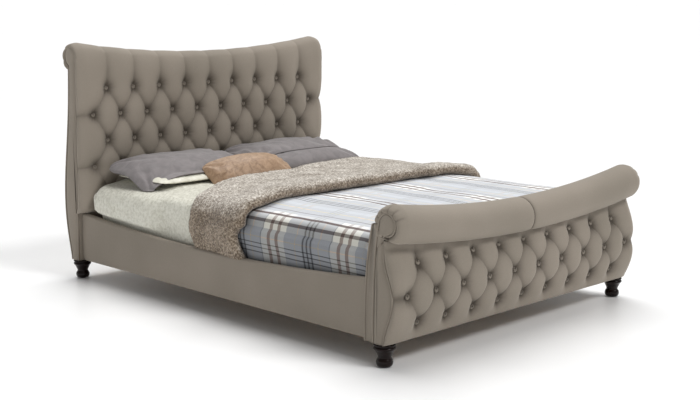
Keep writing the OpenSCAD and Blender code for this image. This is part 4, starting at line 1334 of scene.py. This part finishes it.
@dataclass
class Cover:
    """A cover over the mattress: a flat top, rounded edges and corners, and sides that hang."""

    x: float
    y0: float
    y1: float
    top: float
    hem: float
    edge: float
    corner: float
    step: float
    bulge: float = 0.0

    def lines(self, low: float, high: float) -> np.ndarray:
        """Places across the cover, closer together at its rounded edges."""
        near = self.edge * (1 - np.cos(np.linspace(0, math.pi / 2, 7)))[:-1]
        count = max(2, int((high - low - 2 * self.edge) / self.step))
        flat = np.linspace(low + self.edge, high - self.edge, count)
        return np.concatenate([low + near, flat, (high - near)[::-1]])

    def rounded(self, x: np.ndarray, y: np.ndarray) -> tuple[np.ndarray, np.ndarray]:
        """Moves places in the square corners onto round ones."""
        cx, cy = self.x - self.corner, (self.y1 - self.y0) / 2 - self.corner
        middle = (self.y0 + self.y1) / 2
        p = np.maximum(0, np.abs(x) - cx) / self.corner
        q = np.maximum(0, np.abs(y - middle) - cy) / self.corner
        px = np.minimum(np.abs(x), cx) + p * np.sqrt(1 - q * q / 2) * self.corner
        py = np.minimum(np.abs(y - middle), cy) + q * np.sqrt(1 - p * p / 2) * self.corner
        return np.sign(x) * px, middle + np.sign(y - middle) * py

    def grid(self) -> tuple[np.ndarray, list[tuple[int, ...]], np.ndarray]:
        """The cover's skin: points, faces, and where each point is on the flat cloth, in millimetres."""
        xs, ys = self.lines(-self.x, self.x), self.lines(self.y0, self.y1)
        gx, gy = np.meshgrid(xs, ys, indexing="ij")
        a = np.maximum(0, 1 - (self.x - np.abs(gx)) / self.edge)
        b = np.maximum(0, 1 - np.minimum(gy - self.y0, self.y1 - gy) / self.edge)
        drop = self.edge * (1 - np.sqrt(np.maximum(0, 1 - np.minimum(1, np.hypot(a, b)) ** 2)))
        px, py = self.rounded(gx, gy)
        points = np.stack([px, py, self.top - drop], axis=-1).reshape(-1, 3)
        nx, ny = gx.shape
        faces = [(i * ny + j, (i + 1) * ny + j, (i + 1) * ny + j + 1, i * ny + j + 1)
                 for i in range(nx - 1) for j in range(ny - 1)]
        rim = ([i * ny for i in range(nx - 1)] + [(nx - 1) * ny + j for j in range(ny - 1)]
               + [i * ny + ny - 1 for i in range(nx - 1, 0, -1)] + [j for j in range(ny - 1, 0, -1)])
        ring = points[rim]
        ahead = np.roll(ring, -1, axis=0) - np.roll(ring, 1, axis=0)
        out = np.column_stack([ahead[:, 1], -ahead[:, 0], np.zeros(len(ring))])
        out /= np.linalg.norm(out, axis=1)[:, None]
        flat_x = gx + np.sign(gx) * drop * 0.57 * (a > 0)
        flat_y = gy + np.sign(gy - (self.y0 + self.y1) / 2) * drop * 0.57 * (b > 0)
        flat = np.stack([flat_x, flat_y], axis=-1).reshape(-1, 2)
        rows = max(2, int((self.top - self.edge - self.hem) / self.step))
        all_points, all_flat, previous = [points], [flat], list(rim)
        for k in range(1, rows + 1):
            fall = k / rows * (self.top - self.edge - self.hem)
            moved = ring + out * (self.bulge * math.sin(math.pi * (k / rows) ** 0.6))
            moved[:, 2] = self.top - self.edge - fall
            start = sum(len(p) for p in all_points)
            faces += [(previous[m], start + m, start + (m + 1) % len(rim), previous[(m + 1) % len(rim)])
                      for m in range(len(rim))]
            previous = [start + m for m in range(len(rim))]
            all_points.append(moved)
            all_flat.append(flat[rim] + out[:, :2] * fall)
        return np.concatenate(all_points), faces, np.concatenate(all_flat)

    def fabric(self, name: str, material: bpy.types.Material, thickness: float,
               shape: Optional[Callable[[np.ndarray], np.ndarray]] = None) -> bpy.types.Object:
        """The cover as a piece with a real thickness.

        Args:
            name: the piece's name.
            material: its material.
            thickness: the fabric's thickness.
            shape: moves the skin's points, to wrinkle it.

        Returns:
            The object.
        """
        points, faces, flat = self.grid()
        if shape is not None:
            points = shape(points)
        made = make_piece(name, points, faces, material, uv=flat * MM)
        if made.data.polygons[len(made.data.polygons) // 3].normal.z < 0:
            made.data.flip_normals()
        thicken(made, thickness)
        return made


def thicken(piece: bpy.types.Object, thickness: float, offset: float = -1) -> None:
    """Gives a skin its thickness: inwards, or on both sides where offset is 0."""
    wall = piece.modifiers.new("thickness", "SOLIDIFY")
    wall.thickness = thickness * MM
    wall.offset = offset
    apply_modifiers(piece)


def apply_modifiers(piece: bpy.types.Object) -> None:
    """Applies every modifier of a piece."""
    bpy.ops.object.select_all(action="DESELECT")
    bpy.context.view_layer.objects.active = piece
    piece.select_set(True)
    for modifier in list(piece.modifiers):
        bpy.ops.object.modifier_apply(modifier=modifier.name)


@dataclass
class Linen:
    """Mattress, underblanket, plaid duvet and folded throw."""

    ticking: bpy.types.Material
    cream: bpy.types.Material
    plaid: bpy.types.Material
    fleece: bpy.types.Material
    mattress_end: float = 999
    throw_back: tuple[tuple[float, float], ...] = (
        (-1000, 150), (-770, 165), (-645, 205), (-457, 300), (-330, 345), (0, 352), (110, 398), (300, 436),
        (520, 448), (770, 440), (1000, 430))
    throw_front: tuple[tuple[float, float], ...] = (
        (-1000, -225), (-770, -215), (-300, -205), (300, -215), (770, -235), (1000, -240))
    hem_z: float = 281

    def build_mattress(self) -> bpy.types.Object:
        """A sprung mattress with rounded edges and corners, in its ticking."""
        low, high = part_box("mattress")
        middle = (low.z + high.z) / 2 / MM
        body = Cover(x=high.x / MM - 1, y0=low.y / MM + 28, y1=self.mattress_end - 3, top=high.z / MM - 1,
                     hem=middle, edge=30, corner=34, step=30)
        points, faces, _ = body.grid()
        above = points[:, 2] > middle + 0.01
        twin = np.where(above, len(points) + np.cumsum(above) - 1, np.arange(len(points)))
        under = points[above] * (1, 1, -1) + (0, 0, 2 * middle)
        faces += [tuple(int(twin[i]) for i in reversed(face)) for face in faces]
        points[:, 2] -= slump(points[:, 0]) * smooth_step(points[:, 2], 400, 490)
        made = make_piece("mattress_ticking_cover", np.concatenate([points, under]), faces, self.ticking)
        settle(made, Body.BEDDING, ["mattress"])
        return made

    def build_underblanket(self) -> bpy.types.Object:
        """A cream boucle blanket over the whole mattress, tucked in at the sides."""
        low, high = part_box("underblanket")
        cover = Cover(x=high.x / MM + 3, y0=low.y / MM + 20, y1=self.mattress_end, top=high.z / MM + 4,
                      hem=self.hem_z, edge=40, corner=44, step=14, bulge=6)

        def shape(points: np.ndarray) -> np.ndarray:
            """Lets the blanket loll over the rails, with soft lumps."""
            wave = ruffle(points, 150, 3.0, 3)
            upper = smooth_step(points[:, 2], 380, 500)
            points[:, 2] += (4.0 * wave - slump(points[:, 0])) * upper
            outward = smooth_step(np.abs(points[:, 0]), 715, 752)
            rail = 297 + 46 * ((points[:, 1] - 48) / 1030) ** 2
            loll = smooth_step(points[:, 2], rail + 4, rail + 34) * (1 - smooth_step(points[:, 2], 430, 535))
            loll *= smooth_step(points[:, 1], 400, 560) * (1 + 0.3 * smooth_step(points[:, 1], 700, 950))
            push = 32.0 * loll + 4.0 * wave * (points[:, 1] > 300)
            points[:, 0] += np.sign(points[:, 0]) * outward * push
            points[:, 1] = np.minimum(points[:, 1], self.mattress_end + 2)
            return points

        made = cover.fabric("underblanket_boucle", self.cream, 7, shape)
        settle(made, Body.BEDDING, ["underblanket"])
        return made

    def build_duvet(self) -> bpy.types.Object:
        """A thin plaid duvet from the throw to the footboard, hanging inside the rails."""
        low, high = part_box("plaid_duvet")
        cover = Cover(x=high.x / MM + 6, y0=low.y / MM + 1, y1=high.y / MM + 40, top=high.z / MM + 3,
                      hem=self.hem_z + 2, edge=62, corner=60, step=16, bulge=19)

        def shape(points: np.ndarray) -> np.ndarray:
            """Rumples the duvet and lets its sides hang in soft folds."""
            wave = ruffle(points, 260, 11.0, 3)
            folds = np.sin(points[:, 1] / 46 + 2.5 * ruffle(points, 300, 5.0, 1))
            side = smooth_step(np.abs(points[:, 0]), 735, 762)
            low_part = 1 - smooth_step(points[:, 2], 330, 470)
            sink = slump(points[:, 0]) * smooth_step(points[:, 2], 330, 500)
            points[:, 2] += (1 - side) * 5.0 * wave - sink
            push = 3.0 * wave + (2.0 * folds - 5.0) * low_part
            points[:, 0] += np.sign(points[:, 0]) * side * push
            return points

        made = cover.fabric("duvet_plaid", self.plaid, 15, shape)
        settle(made, Body.BEDDING, ["plaid_duvet"])
        return made

    def build_throw(self) -> bpy.types.Object:
        """A long-pile fleece folded once across the bed, its fold towards the foot, hanging at the sides."""
        half, edge, base = 779.0, 62.0, 537.0
        drop = base - edge - self.hem_z - 6
        straight = half - edge
        arc = edge * math.pi / 2
        total = straight + arc + drop
        across = np.linspace(-total, total, 300)
        away = np.abs(across)
        turn = np.clip((away - straight) / edge, 0, math.pi / 2)
        cx = np.sign(across) * (np.minimum(away, straight) + edge * np.sin(turn))
        cz = base - edge * (1 - np.cos(turn)) - np.maximum(0, away - straight - arc)
        normal = np.column_stack([np.sign(across) * np.sin(turn), np.cos(turn)])
        low_h, high_h, radius = 9.0, 50.0, 20.5
        front = np.interp(cx, *zip(*self.throw_front))
        back = np.interp(cx, *zip(*self.throw_back))
        drops = np.maximum(0, away - straight - arc)
        hang = np.clip(drops / drop, 0, 1)
        front = front + 55 * np.sin(math.pi * hang ** 0.8) + 14 * smooth_step(np.abs(cx), 690, 770)
        back = back + 28 * np.sin(math.pi * hang) - 22 * hang
        points = []
        for k in range(len(across)):
            thin = 1 - 0.5 * smooth_step(drops[k], 20, drop)
            y_low = np.linspace(back[k] - 6, front[k] + radius, 62)[:-1]
            bend = np.linspace(-math.pi / 2, math.pi / 2, 9)
            y_high = np.linspace(front[k] + radius, back[k], 62)[1:]
            y = np.concatenate([y_low, front[k] + radius - 1.3 * radius * np.cos(bend), y_high])
            crest = 25 + (high_h - 25) * (1 - smooth_step(y_high, front[k] + 40, front[k] + 250))
            fold = (low_h + high_h) / 2 + radius * np.sin(bend)
            h = np.concatenate([np.full(len(y_low), low_h), fold, crest]) * thin
            sink = slump(cx[k]) * (1 - smooth_step(drops[k], 0, 140))
            points.append(np.column_stack([cx[k] + normal[k, 0] * h, y, cz[k] + normal[k, 1] * h - sink]))
        rows = len(points[0])
        skin = np.concatenate(points)
        faces = [(i * rows + j, (i + 1) * rows + j, (i + 1) * rows + j + 1, i * rows + j + 1)
                 for i in range(len(points) - 1) for j in range(rows - 1)]
        made = make_piece("throw_long_pile_fleece", skin, faces, self.fleece)
        thicken(made, 14, 0)
        mesh = made.data
        co, normals = (np.zeros(len(mesh.vertices) * 3) for _ in range(2))
        mesh.vertices.foreach_get("co", co)
        mesh.vertices.foreach_get("normal", normals)
        co = co.reshape(-1, 3) / MM
        pile = ruffle(co, 13, 21.0, 2)
        wave = ruffle(co, 170, 4.0, 2)
        co[:, 2] += 4.0 * wave * smooth_step(co[:, 2], 400, 500)
        co += normals.reshape(-1, 3) * (3.0 * pile)[:, None]
        mesh.vertices.foreach_set("co", (co * MM).ravel())
        mesh.update()
        settle(made, Body.BEDDING, ["fleece_throw"])
        return made

    def build(self) -> None:
        """Builds the bedding that lifts with the mattress."""
        self.build_mattress()
        self.build_underblanket()
        self.build_duvet()
        self.build_throw()


@dataclass
class Pillow:
    """A stuffed pillow in a plain case, whose corners sag over what it lies on."""

    node: str
    body: Body
    slot: str
    material: bpy.types.Material
    length: float
    width: float
    up: float
    down: float
    place: tuple[float, float, float]
    tilt: float
    seed: float
    crease: float = 6.0
    front_drop: float = 0.0
    corner_drop: float = 0.0
    corner_side: int = -1
    yaw: float = 0.0
    round_off: float = 0.09
    fill: float = 0.6
    floor: Optional[Callable[[np.ndarray, np.ndarray], np.ndarray]] = None
    ceiling: Optional[Callable[[np.ndarray, np.ndarray], np.ndarray]] = None
    dome: float = 3.2
    arch: float = 0.0
    cells: tuple[int, int] = (120, 76)

    def skin(self) -> tuple[np.ndarray, np.ndarray]:
        """The upper and lower halves of the case about the pillow's middle, as grids of points."""
        p, q = np.meshgrid(*(np.sin(np.linspace(-1, 1, count + 1) * math.pi / 2) for count in self.cells),
                           indexing="ij")
        shrink = 1 - self.round_off * (p * q) ** 4
        x = self.length / 2 * p * shrink * (1 - 0.045 * (1 - q * q) * np.abs(p))
        y = self.width / 2 * q * shrink * (1 - 0.07 * (1 - p * p) * np.abs(q))
        crown = ((1 - np.abs(p) ** self.dome) * (1 - np.abs(q) ** (self.dome - 0.4))) ** 0.56
        rim = 1 - np.maximum(np.abs(p), np.abs(q)) ** 16
        halves = []
        for side, rise in ((1, self.up), (-1, self.down)):
            flat = np.stack([x, y, 0 * x + 400 * side], axis=-1).reshape(-1, 3)
            wave = ruffle(flat, 150, self.seed, 3).reshape(x.shape)
            fan = np.zeros_like(x)
            for cx, cy in ((-1, -1), (-1, 1), (1, -1), (1, 1)):
                dx, dy = x - cx * self.length / 2, y - cy * self.width / 2
                away = np.hypot(dx, dy)
                lobes = np.cos(np.arctan2(dy, dx) * 15 + self.seed + 2.2 * wave)
                fan += (lobes * np.abs(lobes) ** 0.3) * np.exp(-(away / 190) ** 2) * np.minimum(1, away / 50)
            z = side * (rise * crown + rim * self.crease * (0.5 * wave * crown + 0.75 * fan))
            halves.append(np.stack([x, y, z], axis=-1))
        front = smooth_step(-q, -0.1, 1.0)
        corner = smooth_step(0.35 - q, 0.0, 1.3) * smooth_step(self.corner_side * p, 0.2, 1.0)
        flat = np.stack([x, y, 0 * x], axis=-1).reshape(-1, 3)
        sway = 3.0 * ruffle(flat, 260, self.seed + 2, 1).reshape(x.shape)
        for half in halves:
            half[..., 2] += sway - self.front_drop * front - self.corner_drop * corner - self.arch * p * p
        return halves[0], halves[1]

    def build(self) -> bpy.types.Object:
        """Builds the pillow in its place."""
        nx, ny = self.cells
        lean, turn = math.radians(self.tilt), math.radians(self.yaw)
        placed = []
        for half in self.skin():
            x, y, z = half[..., 0], half[..., 1], half[..., 2]
            y, z = y * math.cos(lean) - z * math.sin(lean), y * math.sin(lean) + z * math.cos(lean)
            x, y = x * math.cos(turn) - y * math.sin(turn), x * math.sin(turn) + y * math.cos(turn)
            placed.append(np.stack([x, y, z], axis=-1) + np.array(self.place))
        if self.ceiling is not None:
            for k, gap in ((0, 0.0), (1, 6.0)):
                limit = self.ceiling(placed[k][..., 0], placed[k][..., 1]) - gap
                placed[k][..., 2] = np.minimum(placed[k][..., 2], limit)
        if self.floor is not None:
            for k, clearance in ((1, 0.0), (0, 5.0)):
                rest = self.floor(placed[k][..., 0], placed[k][..., 1]) + clearance
                placed[k][..., 2] = np.maximum(placed[k][..., 2], rest)
        count = (nx + 1) * (ny + 1)
        i, j = np.meshgrid(np.arange(nx + 1), np.arange(ny + 1), indexing="ij")
        inner = ((i > 0) & (i < nx) & (j > 0) & (j < ny)).ravel()
        twin = np.where(inner, count + np.cumsum(inner) - 1, np.arange(count))
        top = placed[0].reshape(-1, 3)
        edge = (placed[0] + placed[1]).reshape(-1, 3) / 2
        top[~inner] = edge[~inner]
        faces = []
        for a in (np.arange(nx)[:, None] * (ny + 1) + np.arange(ny)).ravel():
            ring = (a, a + ny + 1, a + ny + 2, a + 1)
            faces.append(tuple(int(k) for k in ring))
            faces.append(tuple(int(twin[k]) for k in reversed(ring)))
        points = np.concatenate([top, placed[1].reshape(-1, 3)[inner]])
        made = make_piece(f"{self.node}_case", points, faces, self.material)
        settle(made, self.body, [self.node])
        return made


def middle_of(node: str) -> tuple[float, float, float]:
    """The middle of a CAD node's box, in millimetres."""
    low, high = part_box(node)
    return tuple(float(v) / MM for v in (low + high) / 2)


@dataclass
class Pillows:
    """Two pillows on each side and a scatter cushion."""

    grey: bpy.types.Material
    cream: bpy.types.Material
    copper: bpy.types.Material

    bed_z: float = 519

    def left_top(self, x: np.ndarray, y: np.ndarray) -> np.ndarray:
        """Height of the bed and of the flattened pillow under the left one."""
        p = np.clip((x + 352) / 354, -1, 1)
        q = np.clip((y - 744) / 232, -1, 1)
        return self.bed_z - slump(x) + 54 * ((1 - np.abs(p) ** 4) * (1 - np.abs(q) ** 4)) ** 0.5

    def right_top(self, x: np.ndarray, y: np.ndarray) -> np.ndarray:
        """Height of the right lower pillow, flattened under the upper one and full in front of it."""
        p = np.clip((x - 400) / 372, -1, 1)
        height = 38 + 52 * (1 - smooth_step(y, 640, 760))
        return self.bed_z - slump(x) + height * (1 - np.abs(p) ** 4) ** 0.5

    def build(self) -> None:
        """Builds the pillows and the cushion."""
        Pillow("pillow_left_lower", Body.PILLOW_LEFT_LOWER, "cream_cotton", self.cream, length=690, width=444,
               up=32, down=18, place=(-352, 744, 539), tilt=0, seed=1.0, crease=2.0, front_drop=2,
               fill=0.4).build()
        Pillow("pillow_right_lower", Body.PILLOW_RIGHT_LOWER, "grey_cotton", self.grey, length=724, width=430,
               up=76, down=30, place=(400, 760, 556), tilt=0, seed=2.0, crease=11, front_drop=22,
               corner_drop=16, corner_side=1, yaw=-2, round_off=0.14, ceiling=self.right_top).build()
        Pillow("pillow_left_upper", Body.PILLOW_LEFT_UPPER, "grey_cotton", self.grey, length=744, width=446,
               up=78, down=24, place=(-377, 776, 566), tilt=2, seed=5.0, crease=18, front_drop=30,
               corner_drop=52, round_off=0.13, floor=self.left_top).build()
        Pillow("pillow_right_upper", Body.PILLOW_RIGHT_UPPER, "grey_cotton", self.grey, length=786, width=350,
               up=74, down=20, place=(384, 824, 572), tilt=2, seed=8.5, crease=17, front_drop=8,
               corner_drop=46, corner_side=1, round_off=0.14,
               floor=lambda x, y: self.right_top(x, y) + 2).build()
        x, y, z = middle_of("cushion")
        Pillow("cushion", Body.CUSHION, "copper_satin", self.copper, length=540, width=256, up=70, down=46,
               place=(x + 18, y + 4, z - 22), tilt=32, seed=4.0, crease=5.0, yaw=-3, round_off=0.12, fill=0.8,
               dome=2.0, arch=40, cells=(96, 60)).build()


# -- Hidden structure ---------------------------------------------------------------------------


class Structure:
    """Carried-over parts of the frame that keep their CAD shapes and get their real finishes."""

    finishes: dict[str, tuple[str, ...]] = {
        "plywood": ("headboard_core", "headboard_ribs", "footboard_core", "footboard_ribs"),
        "softwood": ("headboard_batten", "footboard_batten", "headboard_roll_pole", "footboard_roll_pole",
                     "side_rail_board_left", "side_rail_board_right", "slat_ledge_left", "slat_ledge_right",
                     "centre_rail"),
        "beech": ("slats_left", "slats_right"),
        "plastic": ("slat_caps_outer", "slat_caps_centre", "foot_glides"),
        "steel": ("corner_brackets", "centre_rail_shoes", "centre_legs"),
        "zinc": ("bracket_bolts", "foot_studs", "leveller_foot", "leveller_middle", "leveller_head"),
    }

    def __init__(self) -> None:
        """Makes the finishes."""
        self.materials = {
            # Birch plywood: pale, with long soft grain and a dry sawn surface.
            "plywood": Timber("birch_plywood", "#d8bf95", "#b8976a", (1.0, 1.0, 0.12), 7).make(),
            # Planed pine: warmer, with stronger streaks along the board.
            "softwood": Timber("planed_pine", "#dcb981", "#b98a52", (1.0, 0.08, 1.0), 6).make(),
            # Steam-bent laminated beech: fine grain along the slat under a thin clear lacquer.
            "beech": Timber("laminated_beech", "#dcb687", "#c2935e", (0.08, 1.0, 1.0), 3, 0.45, 0.15).make(),
            # Moulded polypropylene: black with a fine spark-eroded grit.
            "plastic": Moulded("moulded_polypropylene", "#26262a", "#1a1a1d", 1.2, 0.5).make(),
            # Powder-coated steel: black with a slight orange peel.
            "steel": Moulded("powder_coated_steel", "#2a2a2c", "#202022", 2.0, 0.45).make(),
            # Zinc-plated steel: bluish, slightly mottled by its crystals.
            "zinc": Moulded("zinc_plated_steel", "#c3c6c9", "#9da1a6", 3.0, 0.35, 1.0).make(),
        }

    def build(self) -> None:
        """Gives each carried-over part its finish."""
        for finish, nodes in self.finishes.items():
            for node in nodes:
                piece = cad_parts[node]
                piece.data.materials.clear()
                piece.data.materials.append(self.materials[finish])
            LOG.info("%s on %d carried-over parts", finish, len(nodes))


# -- Studio -------------------------------------------------------------------------------------


@dataclass
class Studio:
    """A white studio: a pale floor, soft light from above and in front, and the camera."""

    camera_place: tuple[float, float, float] = (-4.0742, -4.1595, 1.4157)
    camera_yaw: float = 44.84
    camera_pitch: float = 9.49
    lens: float = 61.05

    def build_camera(self) -> None:
        """Adds the camera."""
        data = bpy.data.cameras.new("camera")
        data.lens, data.sensor_width = self.lens, 36
        data.clip_end = 1000
        camera = bpy.data.objects.new("camera", data)
        camera.location = self.camera_place
        camera.rotation_euler = (math.radians(90 - self.camera_pitch), 0, math.radians(-self.camera_yaw))
        bpy.context.scene.collection.objects.link(camera)
        bpy.context.scene.camera = camera

    def build_floor(self) -> None:
        """Adds the floor: glossy white vinyl that shows a faint reflection."""
        bpy.ops.object.select_all(action="DESELECT")
        bpy.ops.mesh.primitive_plane_add(size=900, location=(0, 0, -0.0005))
        floor = bpy.context.object
        floor.name = "studio_floor"
        material, tree, shader = new_material("white_studio_vinyl")
        speck = grain(tree, coordinates(tree), 400, 2)
        tree.links.new(ramp(tree, speck, [(0.3, "#f4f4f4"), (0.7, "#fbfbfb")]), shader.inputs["Base Color"])
        shader.inputs["Roughness"].default_value = 0.3
        shader.inputs["Specular IOR Level"].default_value = 0.35
        floor.data.materials.append(material)

    def add_sun(self, name: str, towards: tuple[float, float, float], spread: float, power: float) -> None:
        """Adds an even soft light from one direction, spread over an angle in degrees."""
        data = bpy.data.lights.new(name, "SUN")
        data.energy, data.angle = power, math.radians(spread)
        light = bpy.data.objects.new(name, data)
        light.location = Vector(towards) * 4
        light.rotation_euler = Vector(towards).to_track_quat("Z", "Y").to_euler()
        bpy.context.scene.collection.objects.link(light)

    def build(self) -> None:
        """Builds the studio."""
        self.build_camera()
        self.build_floor()
        world = bpy.data.worlds.new("white_studio")
        bpy.context.scene.world = world
        world.use_nodes = True
        tree = world.node_tree
        sky = add(tree, "ShaderNodeTexCoord").outputs["Generated"]
        height = math_node(tree, "ABSOLUTE", add(tree, "ShaderNodeSeparateXYZ", Vector=sky).outputs[2])
        # White walls that dim towards the ceiling, so that the softboxes shape the folds.
        glow = map_range(tree, height, 0.03, 0.3, 1.05, 0.26)
        background = tree.nodes["Background"]
        background.inputs["Color"].default_value = (1, 1, 1, 1)
        tree.links.new(glow, background.inputs["Strength"])
        self.add_sun("overhead_softbox", (0.3, 0.3, 1.0), 48, 2.45)
        self.add_sun("front_softbox", (0.22, -0.85, 0.95), 18, 1.35)
        bpy.context.scene.view_settings.view_transform = "Standard"


def main() -> None:
    """Builds the bed in order."""
    logging.basicConfig(level=logging.INFO, format="%(message)s")
    Studio().build()
    velvet = Velvet().make()
    Structure().build()
    Headboard(velvet).build()
    Footboard(velvet).build()
    SideRails(velvet).build()
    # Turned hardwood under dark lacquer: near-black brown with sharp highlights on its rings.
    TurnedFeet(Timber("espresso_lacquered_hardwood", "#1b0d09", "#0e0604", (1.0, 1.0, 0.1), 4, 0.17,
                      shine=0.22).make()).build()
    Linen(
        # Damask ticking: white cotton with a close weave.
        PlainCloth("cotton_ticking", "#e6e4de", "#d6d3cb", 2.0, 70).make(),
        # Boucle blanket: small cream loops that shade each other, with painted light on faces that do not
        # face up.
        Fleece("cream_boucle", "#dddbce", "#cfcdbf", "#b8b5a6", 9, 5.0, "#8a897c", "SCREEN").make(),
        Plaid().make(),
        # Long-pile fleece: pale tips over brown roots, partly painted shade between clumps, and painted shade
        # on faces that do not face up.
        Fleece("long_pile_fleece", "#e9e3da", "#aca397", "#766b60", 5.5, 5.0, "#c8bdb1").make(),
    ).build()
    Pillows(
        # Brushed cotton in mauve-grey.
        PlainCloth("brushed_cotton_grey", "#817b7b", "#757070", sheen=0.3).make(),
        # Cotton percale in cream.
        PlainCloth("cotton_percale_cream", "#e4e2d4", "#cfccbc").make(),
        # Crushed satin: copper, with painted glints as pale patches on its crushed facets.
        PlainCloth("crushed_satin_copper", "#a3866c", "#856a52", crease_mm=30, roughness=0.5, sheen=0.4,
                   sheen_tint="#f3d9bd", crease_depth_mm=3.0, painted_glint=0.22, painted_glint_colour="#d9bfa5").make(),
    ).build()


if __name__ == "__main__":
    main()
